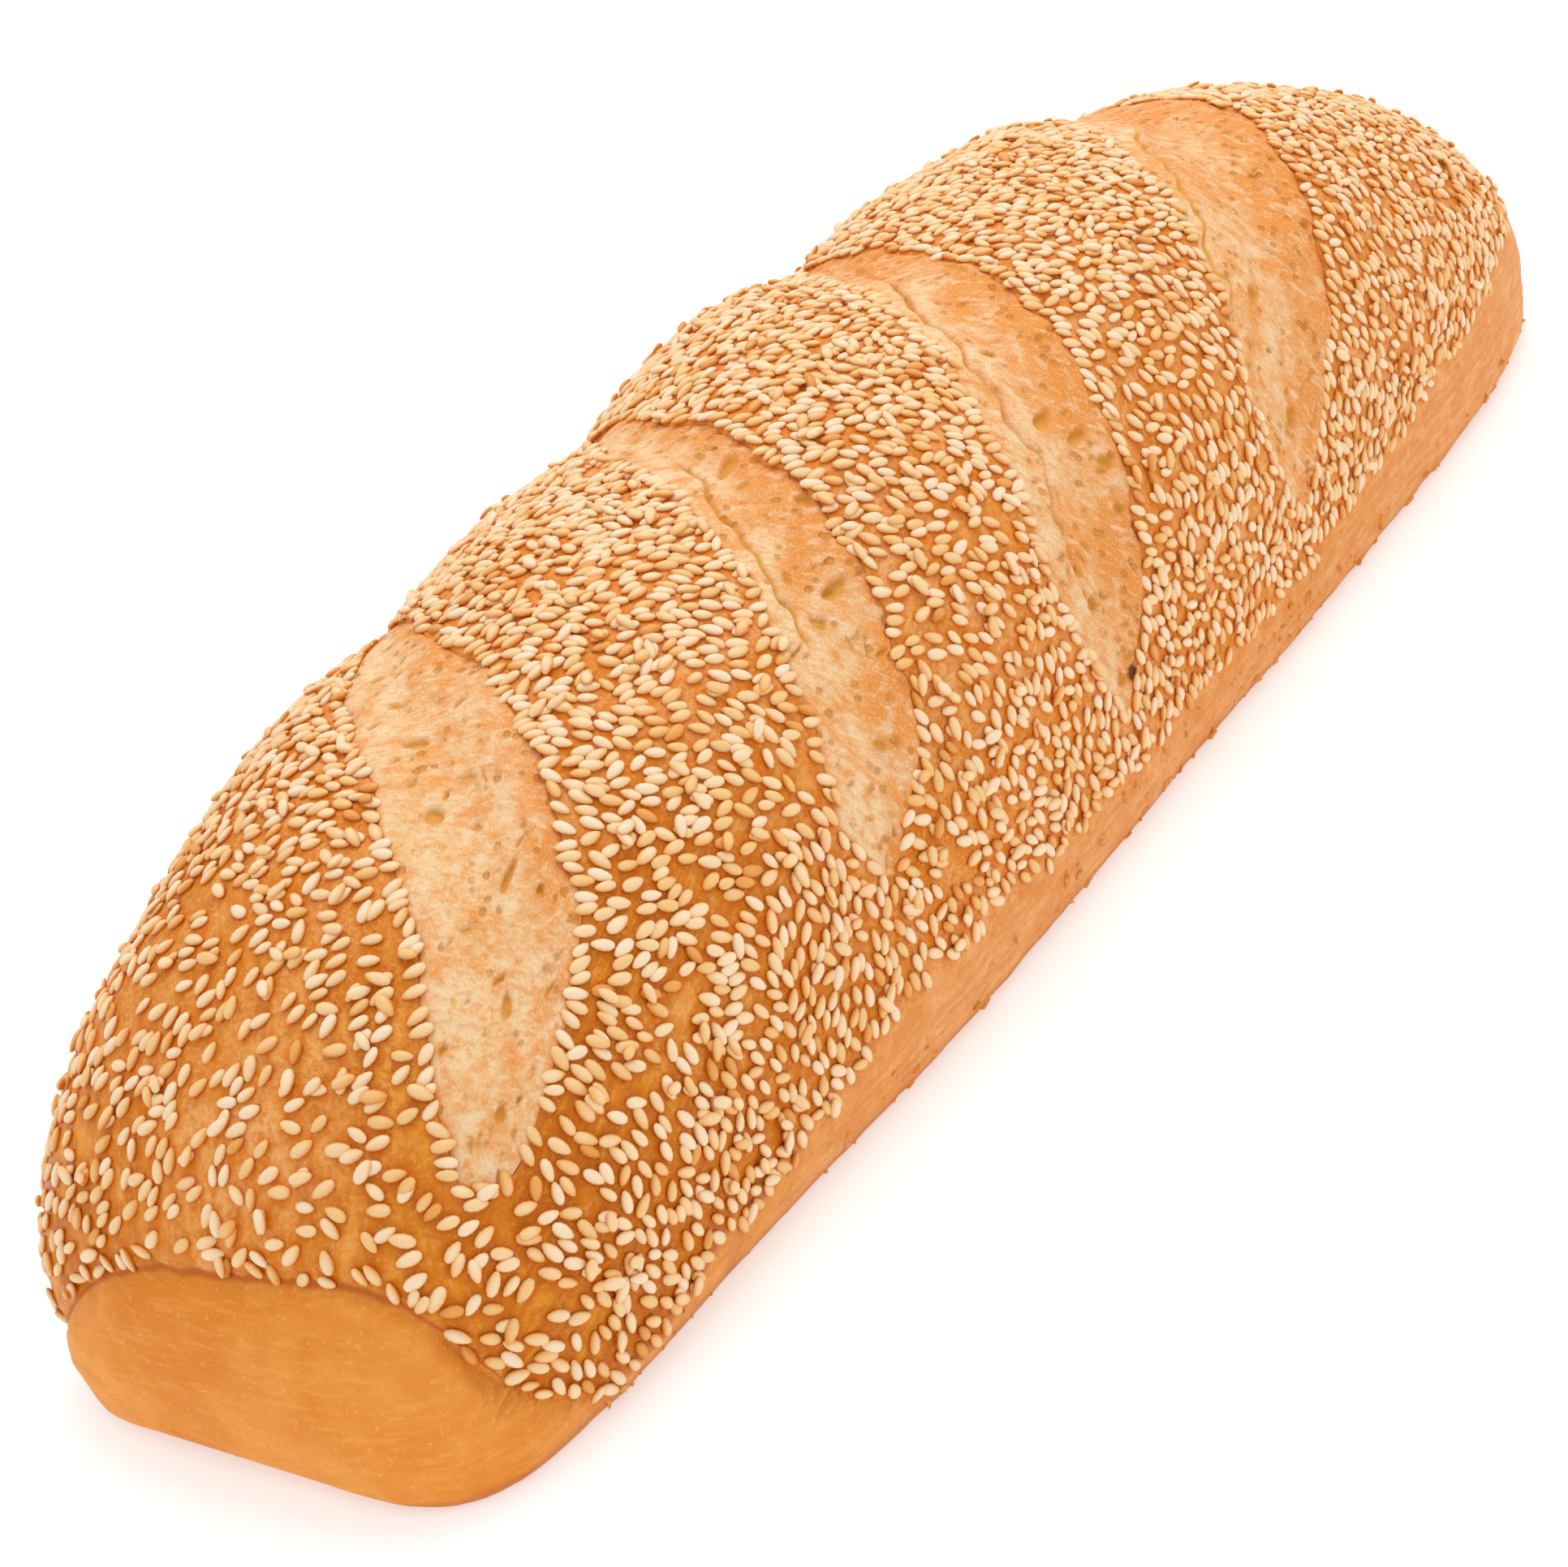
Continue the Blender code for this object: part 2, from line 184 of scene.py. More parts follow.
def layered(points, rough):
    """Layers of noise, each half as large and half as strong as the one before."""
    total = 0
    for k in range(rough.layers):
        total = total + lattice_noise(points * 2 ** k / rough.size, rough.seed + k) / 2 ** k
    return rough.height * total


def smooth(value, low, high):
    """0 below low, 1 above high and an S between."""
    share = np.clip((value - low) / (high - low), 0.0, 1.0)
    return share * share * (3.0 - 2.0 * share)


def fall(value, low, high):
    """1 below low, 0 above high and an S between."""
    return smooth(-value, -high, -low)


three_places = np.array([[0.01], [0.02], [0.03]]) * np.ones(3)
print("waves at three places:", *layered(three_places, Rough(1.0, 0.025, 1)).round(2))

# %% [markdown]
# ## The slashes
#
# A baker's blade cut four slanting lines. In the oven each opened into a pointed lens that runs from
# the crown down the near flank. Both edges of a slash are given as places along x for each turn, so the
# crust can end exactly on them and the crumb can start there. Slow waves along the edges keep them torn.

# %% Slash edges: middle, travel and wide in metres along x, low, widest and high as turns
Slash = collections.namedtuple("Slash", "middle travel ease wide low widest high blunt_low blunt_high")
SLASHES = (
    Slash(-0.1109, 0.0692, 1.27, 0.0169, -0.66, -0.46, 0.46, 2.3, 2.0),
    Slash(-0.0454, 0.0410, 1.57, 0.0108, -0.91, -0.71, 0.42, 1.7, 2.2),
    Slash(0.0165, 0.0400, 0.87, 0.0145, -1.02, -0.55, 0.36, 3.4, 1.6),
    Slash(0.1010, 0.0567, 1.03, 0.0198, -1.01, -0.20, 0.42, 4.7, 1.3),
)
EASE_POWER = 6
EDGE_WAVE, FULL_WAVE_AT = 0.0007, 0.006
LEAST_GAP = 0.0020  # between the rings beyond a slash's point
LEAST_OPEN = 0.0006


def slash_middle(slash, turn):
    eased = (1.0 + np.abs(turn / slash.ease) ** EASE_POWER) ** (1 / EASE_POWER)
    return slash.middle + slash.travel * turn / eased


def slash_half(slash, turn):
    """Half-width along x: a pointed lens, widest on the near flank."""
    below = np.clip((slash.widest - turn) / (slash.widest - slash.low), 0.0, 1.0) ** slash.blunt_low
    above = np.clip((turn - slash.widest) / (slash.high - slash.widest), 0.0, 1.0) ** slash.blunt_high
    return slash.wide * (1.0 - below) * (1.0 - above)


def slash_edges(slash, turn):
    """Near and far edge along x, with the waves of a torn edge, which no two edges share."""
    middle, half = slash_middle(slash, turn), slash_half(slash, turn)
    wave = EDGE_WAVE * np.clip(half / FULL_WAVE_AT, 0.0, 1.0)
    phase = slash.middle * 900
    near = wave * (np.sin(turn * 23 + phase) + 0.6 * np.sin(turn * 51 + 2 * phase))
    far = wave * (np.sin(turn * 27 + 3 * phase) + 0.6 * np.sin(turn * 58 + 5 * phase))
    return middle - half + near, middle + half + far


for number, slash in enumerate(SLASHES, 1):
    print(f"slash {number}: {slash.wide * 2000:.0f} mm wide along the loaf at turn {slash.widest}")

# %% [markdown]
# ## The crust
#
# The crust is one closed skin. A uv sphere could be bent into it, but its rings would cross the slashes
# and leave saw teeth. So a grid is laid instead whose rings run along the edges of the slashes: between
# the edges the rings are spaced evenly, and past a slash's point they close up again. Inside a slash the
# skin dives below the crumb, which gives the edge its small cliff.

# %% Bands, crease and bare end
BAND_SWELLS = (0.0038, 0.0023, 0.0051, 0.0041, 0.0033)
BAND_DIP, BAND_REACH, BAND_FADE = 0.0014, 0.030, 4
CREASE_HEIGHT, CREASE_MIDDLE = 0.0315, -0.012
CREASE_SPANS, CREASE_ARCHES = (0.0335, 0.056), (5.0, 3.0)
NEAR_END_DEPTH, NEAR_END_FADE = 0.028, 1.6


def band_relief(x, turn):
    """The crust swells between two slashes, each band by its own height, and dips towards them."""
    away = np.array([x - slash_middle(s, turn) for s in SLASHES])
    nearest = np.min(np.abs(away), axis=0)
    swell = np.array(BAND_SWELLS)[(away > 0).sum(axis=0)]
    rise = np.clip(nearest / BAND_REACH, 0.0, 1.0)
    fade = np.sqrt(np.maximum(0.0, np.cos(np.clip(turn, -1.0, 1.0) * math.pi / 2)))
    return fade * falloff(x, BAND_FADE, BAND_FADE) * (swell * np.sin(rise * math.pi / 2) - BAND_DIP)


def crease_height(y):
    """An arch that falls steeply on the -Y side and slowly on the +Y side."""
    span, arch = (np.where(y < CREASE_MIDDLE, *pair) for pair in (CREASE_SPANS, CREASE_ARCHES))
    share = np.clip(np.abs(y - CREASE_MIDDLE) / span, 0.0, 1.2)
    return CREASE_HEIGHT * (1.0 - share ** arch)


def near_end(x):
    """1 on the bare near end, 0 past it."""
    return np.clip(NEAR_END_FADE * (1.0 - (x + HALF_LENGTH) / NEAR_END_DEPTH), 0.0, 1.0)


def above_crease(points):
    """Height over the crease that parts the seeded crust from the bare near end."""
    return points[..., 2] - crease_height(points[..., 1])


def inside_slash(x, turn):
    """How far inside the nearest slash a place lies, in metres along x; negative outside."""
    depth = np.full(np.broadcast(x, turn).shape, -1.0)
    for slash in SLASHES:
        near, far = slash_edges(slash, turn)
        inner = np.where(slash_half(slash, turn) > LEAST_OPEN, np.minimum(x - near, far - x), -1.0)
        depth = np.maximum(depth, inner)
    return depth


print("the bands swell by", *(f"{swell * 1000:.1f}" for swell in BAND_SWELLS), "mm")

# %% Relief of the crust
CREASE_DEPTH, CREASE_WIDTH = 0.0015, 0.0016
END_BULGE, END_BULGE_OVER = 0.0012, 0.008
SKIN_WAVES, SKIN_GRAIN = Rough(0.0005, 0.022, 3), Rough(0.00022, 0.0040, 7)
FOOT_RAGS, FOOT_TURNS = Rough(0.0004, 0.006, 13), (0.90, 1.15)
UNDER_CRUMB, CLIFF = 0.0060, (-0.0001, 0.0024)
OPEN_FROM, OPEN_OVER = 0.0011, 0.0035


def crust_relief(x, turn, points):
    """Height of the crust over the plain loaf; the underside stays flat."""
    above, end = above_crease(points), near_end(x)
    loose = np.clip((1.5 - np.abs(turn)) * 5, 0.0, 1.0)
    relief = band_relief(x, turn)
    relief = relief - CREASE_DEPTH * end * np.exp(-(above / CREASE_WIDTH) ** 2)
    relief = relief + END_BULGE * end * fall(above, -END_BULGE_OVER, 0.0)
    relief = relief + loose * (layered(points, SKIN_WAVES) + layered(points, SKIN_GRAIN))
    relief = relief + loose * smooth(np.abs(turn), *FOOT_TURNS) * layered(points, FOOT_RAGS)
    deep = np.zeros_like(relief)
    for slash in SLASHES:
        near, far = slash_edges(slash, turn)
        open_here = np.clip((slash_half(slash, turn) - OPEN_FROM) / OPEN_OVER, 0.0, 1.0)
        deep = np.maximum(deep, UNDER_CRUMB * open_here * smooth(np.minimum(x - near, far - x), *CLIFF))
    return relief - deep


print(f"inside a slash the crust dives by up to {UNDER_CRUMB * 1000:.0f} mm")

# %% Grid of the crust
BAND_RINGS = (64, 38, 36, 38, 66)
SLASH_RINGS = (0.0, 0.03, 0.08, 0.2, 0.5, 0.8, 0.92, 0.97)
CROWN_STEPS, FOOT_STEPS, UNDER_STEPS = 250, 13, 10
FIRST_BAND_ENDS, LAST_BAND_STARTS = 0.125, 0.060


def crust_turns():
    """The turns of the grid's columns, once round the section."""
    marks, steps = (-1.0, 1.0, 1.5, 2.5, 3.0), (CROWN_STEPS, FOOT_STEPS, UNDER_STEPS, FOOT_STEPS)
    spans = zip(marks[:-1], marks[1:], steps)
    columns = np.concatenate([np.linspace(start, end, count, endpoint=False) for start, end, count in spans])
    return np.where(columns > 2.0, columns - 4.0, columns)


def even_along_outline(count, start_at):
    """Shares from one place to the tip, even along the loaf's outline seen from above."""
    angle = np.linspace(0.0, math.pi / 2, 2000)
    c, s = np.cos(angle), np.sin(angle)
    size = (c ** NEAR_PLAN + s ** NEAR_PLAN) ** (-1 / NEAR_PLAN)
    x, y = HALF_LENGTH * s * size, HALF_WIDTH * c * size
    start = np.searchsorted(x, start_at)
    x, y = x[start:], y[start:]
    length = np.concatenate([[0.0], np.cumsum(np.hypot(np.diff(x), np.diff(y)))])
    places = np.interp(np.linspace(0.0, length[-1], count + 1), length, x)
    return (places - places[0]) / (HALF_LENGTH - places[0])


def crust_rings(turn):
    """Places along x of every ring at one turn: through the edges of the slashes, tip to tip."""
    follow = float(np.clip(turn, -1.0, 1.0))
    fade = min(1.0, (2.0 - abs(turn)) * 2)
    stations = []
    for slash in SLASHES:
        near, far = slash_edges(slash, follow)
        shortfall = max(0.0, LEAST_GAP - (far - near) / 2)
        base = slash.middle
        stations += [base + (near - shortfall - base) * fade - (1 - fade) * LEAST_GAP,
                     base + (far + shortfall - base) * fade + (1 - fade) * LEAST_GAP]
    to_first = stations[0] + HALF_LENGTH
    x = [-HALF_LENGTH + to_first * (1 - s) for s in even_along_outline(BAND_RINGS[0], FIRST_BAND_ENDS)[:0:-1]]
    for k in range(len(stations) - 1):
        span = stations[k + 1] - stations[k]
        shares = SLASH_RINGS if k % 2 == 0 else np.linspace(0, 1, BAND_RINGS[(k + 1) // 2], endpoint=False)
        x += [stations[k] + span * s for s in shares]
    to_tip = HALF_LENGTH - stations[-1]
    x += [stations[-1] + to_tip * s for s in even_along_outline(BAND_RINGS[-1], LAST_BAND_STARTS)]
    return np.array(x)


turns = crust_turns()
ring_x = np.stack([crust_rings(t) for t in turns], axis=1)[1:-1]
ring_turn = np.broadcast_to(turns, ring_x.shape)
print("crust grid:", ring_x.shape, "rings by columns,", 2 * ring_x.size, "triangles")
print("rings in order:", bool((np.diff(ring_x, axis=0) > 0).all()))


# %% Mesh from a grid
def new_piece(name, mesh):
    piece = bpy.data.objects.new(name, mesh)
    bpy.context.collection.objects.link(piece)
    return piece


def mesh_of(name, shape):
    """The mesh of a bmesh, which is then let go."""
    mesh = bpy.data.meshes.new(name)
    shape.to_mesh(mesh)
    shape.free()
    return mesh


def grid_mesh(name, points, closed, poles=()):
    """A mesh from a grid of points; closed joins the last column to the first, and poles cap both ends."""
    rings, columns = points.shape[:2]
    index = np.arange(rings * columns).reshape(rings, columns)
    after = np.roll(index, -1, axis=1) if closed else index[:, 1:]
    here = index if closed else index[:, :-1]
    faces = np.stack([here[:-1], after[:-1], after[1:], here[1:]], axis=-1).reshape(-1, 4).tolist()
    vertices = points.reshape(-1, 3)
    if poles:
        vertices = np.concatenate([vertices, np.array(poles)])
        first, last = rings * columns, rings * columns + 1
        faces += [(first, int(b), int(a)) for a, b in zip(here[0], after[0])]
        faces += [(last, int(a), int(b)) for a, b in zip(here[-1], after[-1])]
    mesh = bpy.data.meshes.new(name)
    mesh.from_pydata(vertices.tolist(), [], faces)
    mesh.shade_smooth()
    return new_piece(name, mesh)


def face_outwards(piece):
    """Turn the faces so that they point out of a closed piece."""
    shape = bmesh.new()
    shape.from_mesh(piece.data)
    if shape.calc_volume(signed=True) < 0:
        bmesh.ops.reverse_faces(shape, faces=shape.faces)
    shape.to_mesh(piece.data)
    shape.free()


def keep(piece, name, values):
    """Store a number for every vertex, for the material to read."""
    values = np.asarray(values, dtype=np.float32).ravel()
    field = piece.data.attributes.new(name, "FLOAT", "POINT")
    padded = np.zeros(len(piece.data.vertices), dtype=np.float32)
    padded[:len(values)] = values
    field.data.foreach_set("value", padded)


# %% The crust itself
POLES = ((-HALF_LENGTH - END_BULGE, 0, TIP_HEIGHT), (HALF_LENGTH, 0, TIP_HEIGHT))

plain = plain_point(ring_x, ring_turn)
facing = outward(ring_x, ring_turn)
crust_points = plain + facing * crust_relief(ring_x, ring_turn, plain)[..., None]
crust_points[..., 2] = np.maximum(crust_points[..., 2], 0.0)
crust = grid_mesh("crust", crust_points, True, POLES)
face_outwards(crust)
print("crust:", len(crust.data.vertices), "vertices")

# %% [markdown]
# ## The torn crumb
#
# Where a slash opened, the white inside stretched, tore and then baked. It is a swollen cushion lower than
# the crust, with fibres drawn across the opening, folds where two tears met, and pores left by gas
# bubbles. A bump map could only pretend to the folds and the large pores, so each slash has its own
# fine grid, sampled every third of a millimetre, and every dent in it is a real one.

# %% Folds and large pores, by turn and by place between the edges (-1 near, +1 far)
Fold = collections.namedtuple("Fold", "slash turns places depth width lip")
FOLDS = (
    Fold(1, (-0.55, -0.49, -0.39, -0.28, -0.17, 0.02), (-0.34, -0.43, -0.58, -0.60, -0.50, -0.20),
         0.0009, 0.0006, 0.0006),
    Fold(2, (-0.80, -0.66, -0.59, -0.46, -0.33, -0.16, 0.05), (-0.50, -0.44, -0.36, -0.52, -0.62, -0.60, 0.0),
         0.0016, 0.0009, 0.0011),
    Fold(3, (-0.66, -0.54, -0.45, -0.31, -0.16, 0.02), (-0.90, -0.84, -0.78, -0.70, -0.58, -0.30),
         0.0008, 0.0011, 0.0009),
)
Pore = collections.namedtuple("Pore", "slash turn place long wide depth turned", defaults=(0.0,))
PORES = (
    Pore(0, -0.02, -0.27, 0.0032, 0.0011, 0.0009), Pore(0, -0.14, -0.35, 0.0032, 0.0012, 0.0009),
    Pore(0, -0.15, 0.20, 0.0030, 0.0006, 0.0005), Pore(0, -0.33, 0.28, 0.0024, 0.0014, 0.0009, 1.1),
    Pore(0, -0.46, -0.09, 0.0022, 0.0015, 0.0008, -0.6), Pore(0, -0.56, -0.32, 0.0019, 0.0012, 0.0008),
    Pore(0, -0.40, 0.62, 0.0014, 0.0009, 0.0007), Pore(0, -0.22, 0.05, 0.0018, 0.0007, 0.0005),
    Pore(0, 0.05, -0.13, 0.0024, 0.0007, 0.0005), Pore(0, 0.16, 0.30, 0.0016, 0.0006, 0.0005),
    Pore(1, -0.31, 0.82, 0.0024, 0.0013, 0.0009), Pore(1, -0.47, 0.40, 0.0030, 0.0017, 0.0011, 0.7),
    Pore(1, -0.13, 0.35, 0.0034, 0.0017, 0.0011, 0.8), Pore(1, -0.49, -0.10, 0.0022, 0.0011, 0.0007),
    Pore(1, -0.72, 0.20, 0.0017, 0.0010, 0.0006),
    Pore(2, -0.52, 0.05, 0.0027, 0.0017, 0.0010, 0.5), Pore(2, -0.59, 0.41, 0.0027, 0.0016, 0.0010, 0.6),
    Pore(2, -0.66, 0.66, 0.0022, 0.0014, 0.0009), Pore(2, -0.83, -0.35, 0.0022, 0.0014, 0.0013),
    Pore(2, -0.74, 0.70, 0.0015, 0.0010, 0.0008), Pore(2, -0.40, 0.62, 0.0015, 0.0010, 0.0007),
    Pore(3, -0.57, 0.80, 0.0018, 0.0012, 0.0012), Pore(3, -0.62, -0.35, 0.0029, 0.0022, 0.0010, 0.6),
    Pore(3, -0.86, -0.20, 0.0027, 0.0018, 0.0010), Pore(3, -0.35, 0.30, 0.0013, 0.0009, 0.0006),
    Pore(3, -0.74, 0.45, 0.0014, 0.0010, 0.0007),
)
SMALL_PORES = 60


def small_pores(number):
    """Little pores at random places of one slash, all longer than wide."""
    pick, slash = random.Random(100 + number), SLASHES[number]
    small = []
    for _ in range(SMALL_PORES):
        size = pick.uniform(0.00045, 0.00080)
        small.append(Pore(number, pick.uniform(slash.low, slash.high - 0.1), pick.uniform(-0.85, 0.95),
                          size * pick.uniform(1.4, 2.8), size * 0.8, size * pick.uniform(0.5, 0.9),
                          pick.gauss(0.0, 0.4)))
    return small


print(len(FOLDS), "folds,", len(PORES), "large pores and", SMALL_PORES, "small ones in each slash")

# %% Grid of one slash
CRUMB_STEP = 0.00034
CRUMB_ENDS = (0.004, 0.008)
TURN_LENGTH, TRAVEL_SHARE, ACROSS_SHARE = 0.098, 0.6, 1.426  # roughly, to choose the numbers of steps
CRUMB_HIDDEN = 1.06  # the crumb goes on a little under the crust's edges
FIBRE_LEAN = -1.1


def crumb_frame(slash):
    """Grid of one slash: turn, place and x of its points, and metres along and across the slash."""
    low, high = slash.low + CRUMB_ENDS[0], slash.high - CRUMB_ENDS[1]
    rows = int((high - low) * (TURN_LENGTH + TRAVEL_SHARE * abs(slash.travel)) / CRUMB_STEP)
    columns = int(ACROSS_SHARE * slash.wide / CRUMB_STEP)
    turn, place = np.meshgrid(np.linspace(low, high, rows), np.linspace(-CRUMB_HIDDEN, CRUMB_HIDDEN, columns),
                              indexing="ij")
    near, far = slash_edges(slash, turn)
    x = (near + far) / 2 + place * (far - near) / 2
    middle = plain_point(slash_middle(slash, turn[:, 0]), turn[:, 0])
    steps = np.linalg.norm(np.diff(middle, axis=0), axis=1)
    along = np.broadcast_to(np.concatenate([[0.0], np.cumsum(steps)])[:, None], turn.shape)
    return turn, place, x, along, x - slash_middle(slash, turn)


def fibre_places(number, along, across):
    """Places on the crumb, in metres with and across its fibres, which lean against the slash."""
    long = math.hypot(1.0, FIBRE_LEAN)
    return np.stack([(across + FIBRE_LEAN * along) / long, (along - FIBRE_LEAN * across) / long,
                     np.full_like(along, 0.1 * number)], axis=-1)


print("crumb grid of the first slash:", crumb_frame(SLASHES[0])[0].shape, "points along and across")

# %% Dents in the crumb
FOLD_FADE, LIP_FADE = 0.08, 0.006
PORE_WALL, PORE_FLOOR = 1.05, 0.55  # where a wall starts and ends, as shares of the pore's half-size
PORE_LIP, LIP_AT, LIP_WIDTH = 0.10, 1.2, 0.2
# the inside of a pore is painted darker as painted shade, in full from this depth
DARK_DEPTH = 0.0006  # a pore of this depth has its full shade


def fold_dents(number, turn, place):
    """Heights of one slash's folds, and how deep in a fold each point lies."""
    relief, pits = np.zeros_like(turn), np.zeros_like(turn)
    for fold in [f for f in FOLDS if f.slash == number]:
        first, last = fold.turns[0], fold.turns[-1]
        line = np.interp(turn, fold.turns, fold.places) + 0.05 * np.sin(turn * 41) + 0.03 * np.sin(turn * 97)
        away = (place - line) * slash_half(SLASHES[number], turn)
        ends = smooth(turn, first, first + FOLD_FADE) * fall(turn, last - FOLD_FADE, last)
        groove = ends * np.exp(-(away / fold.width) ** 2)
        lip = ends * fall(away, -2 * fold.width, fold.width) * np.exp(-np.maximum(-away, 0.0) / LIP_FADE)
        relief = relief - fold.depth * groove + fold.lip * lip
        pits = np.maximum(pits, groove)
    return relief, pits


def pore_dents(number, turn, place, fibres):
    """Heights of one slash's pores, steeper on one side, and how deep in a pore each point lies."""
    relief, pits = np.zeros_like(turn), np.zeros_like(turn)
    for pore in [p for p in PORES if p.slash == number] + small_pores(number):
        row = np.argmin(np.abs(turn[:, 0] - pore.turn))
        column = np.argmin(np.abs(place[0] - pore.place))
        away = fibres - fibres[row, column]
        c, s = math.cos(pore.turned), math.sin(pore.turned)
        long_way = (c * away[..., 0] + s * away[..., 1]) / pore.long
        wide_way = (c * away[..., 1] - s * away[..., 0]) / pore.wide
        angle = np.arctan2(wide_way, long_way)
        wobble = 1.0 + 0.10 * np.sin(2 * angle + pore.turn * 80) + 0.08 * np.sin(3 * angle + pore.place * 40)
        distance = np.hypot(long_way, wide_way) * wobble
        dent = fall(distance, PORE_FLOOR, PORE_WALL) * np.clip(0.85 + 0.40 * wide_way, 0.25, 1.4)
        lip = PORE_LIP * np.exp(-((distance - LIP_AT) / LIP_WIDTH) ** 2)
        relief = relief - pore.depth * (dent - lip)
        pits = np.maximum(pits, dent * min(1.0, pore.depth / DARK_DEPTH))
    return relief, pits


# %% The crumb of each slash
CRUMB_EDGE = 0.0002
CRUMB_SWELL, FULL_SWELL_AT = 0.0010, 0.010
RIM_DROP, RIM_FROM = 0.0030, 0.985
TIP_DROP, TIP_WIDTHS = 0.0012, (0.0006, 0.0016)
CRUMB_FIBRES = Rough(0.00005, 0.0013, 11)
CRUMB_WAVES, CRUMB_RIPPLES = Rough(0.00045, 0.009, 17, 1), Rough(0.00004, 0.0018, 23, 1)
FIBRE_STRETCH = np.array([0.2, 1.0, 1.0])
TOASTED_SIDE, TOASTED = 0.32, (-0.03, 0.10, 0.18, 0.26)  # browning of the far side, and of each slash


def crumb_relief(number, turn, place, x, along, across):
    """Height of the crumb over the plain loaf, and how deep in a pore or fold each point lies."""
    half = slash_half(SLASHES[number], turn)
    rounding = np.sqrt(np.clip(1.0 - place ** 2, 0.0, 1.0))
    relief = band_relief(x, turn) - CRUMB_EDGE
    relief = relief + CRUMB_SWELL * rounding * np.clip(half / FULL_SWELL_AT, 0.0, 1.0)
    relief = relief - RIM_DROP * smooth(np.abs(place), RIM_FROM, CRUMB_HIDDEN)
    relief = relief - TIP_DROP * fall(half, *TIP_WIDTHS)
    fibres = fibre_places(number, along, across)
    relief = relief + layered(fibres * FIBRE_STRETCH, CRUMB_FIBRES)
    flat = np.stack([across, along, np.full_like(along, number * 0.1)], axis=-1)
    relief = relief + layered(flat, CRUMB_WAVES) + layered(flat, CRUMB_RIPPLES)
    folds, fold_pits = fold_dents(number, turn, place)
    pores, pore_pits = pore_dents(number, turn, place, fibres)
    return relief + folds + pores, np.maximum(fold_pits, pore_pits)


def make_crumb(number):
    turn, place, x, along, across = crumb_frame(SLASHES[number])
    relief, pits = crumb_relief(number, turn, place, x, along, across)
    points = plain_point(x, turn) + outward(x, turn) * relief[..., None]
    piece = grid_mesh(f"crumb_{number + 1}", points, False)
    if piece.data.polygons[len(piece.data.polygons) // 2].normal.z < 0:
        piece.data.flip_normals()
    # how deep each point lies in a pore or fold, which sets the painted shade there
    keep(piece, "pit_shade", pits)
    keep(piece, "place", place)
    keep(piece, "side", TOASTED_SIDE * place + TOASTED[number])
    grain = piece.data.attributes.new("grain", "FLOAT_VECTOR", "POINT")
    grain.data.foreach_set("vector", fibre_places(number, along, across).astype(np.float32).ravel())
    return piece


crumbs = [make_crumb(number) for number in range(len(SLASHES))]
for piece in crumbs:
    print(piece.name, 2 * len(piece.data.polygons), "triangles")

# %% [markdown]
# ## Flakes along the base
#
# Where the dough met its tray, bits of skin and crumb stand out of the lower edge. A displaced edge would
# only wave, so small ragged flakes are pressed into the foot along both flanks and round the far end.

# %% Flakes
FLAKES = 340
FLAKE_SMALL, FLAKE_LARGE = 0.0003, 0.0011
FLAKES_FROM = -0.160  # the near end is smooth and has none
FLAKE_TURNS = (1.20, 1.47)


def make_flakes():
    pick = random.Random(5)
    shape = bmesh.new()
    first = int(np.argmax(ring_x[:, 0] > FLAKES_FROM))
    for _ in range(FLAKES):
        ring = pick.randrange(first, len(ring_x) - 2)
        side = pick.choice((-1.0, 1.0))
        column = int(np.argmin(np.abs(turns - side * pick.uniform(*FLAKE_TURNS))))
        size = FLAKE_SMALL + (FLAKE_LARGE - FLAKE_SMALL) * pick.random() ** 3
        swing = Matrix.Rotation(pick.uniform(0.0, math.pi), 4, facing[ring, column])
        flat = Matrix.Diagonal((size * pick.uniform(1.0, 2.0), size, size * pick.uniform(0.5, 1.0), 1.0))
        centre = Vector(crust_points[ring, column])
        centre.z = max(centre.z, size)
        grown = bmesh.ops.create_icosphere(shape, subdivisions=1, radius=1.0,
                                           matrix=Matrix.Translation(centre) @ swing @ flat)
        for vertex in grown["verts"]:
            vertex.co = centre + (vertex.co - centre) * pick.uniform(0.6, 1.15)
    return new_piece("flakes", mesh_of("flakes", shape))


flakes = make_flakes()
print("flakes:", len(flakes.data.polygons), "triangles")

# %% [markdown]
# ## Where the sesame lies
#
# Thousands of seeds were rolled on before baking. They lie flat, mostly side by side in small drifts, keep
# off the torn crumb and stop a little above the table. Scattering them evenly would look like wallpaper, so
# each seed is tried at a random place with a direction close to its neighbours', and is kept only where
# it hardly overlaps the ones already there. A few more are then laid on top of others.

# %% Places to try
SEED_TRIES = 280000
SEEDED_TURNS = 1.3
EDGE_SPACING, EDGE_INSET, EDGE_SPREAD = 0.0009, 0.0003, 0.0004
TURN_METRES, EDGE_JITTER = 0.080, 0.004
chance = random.Random(7)
draw = np.random.default_rng(7)


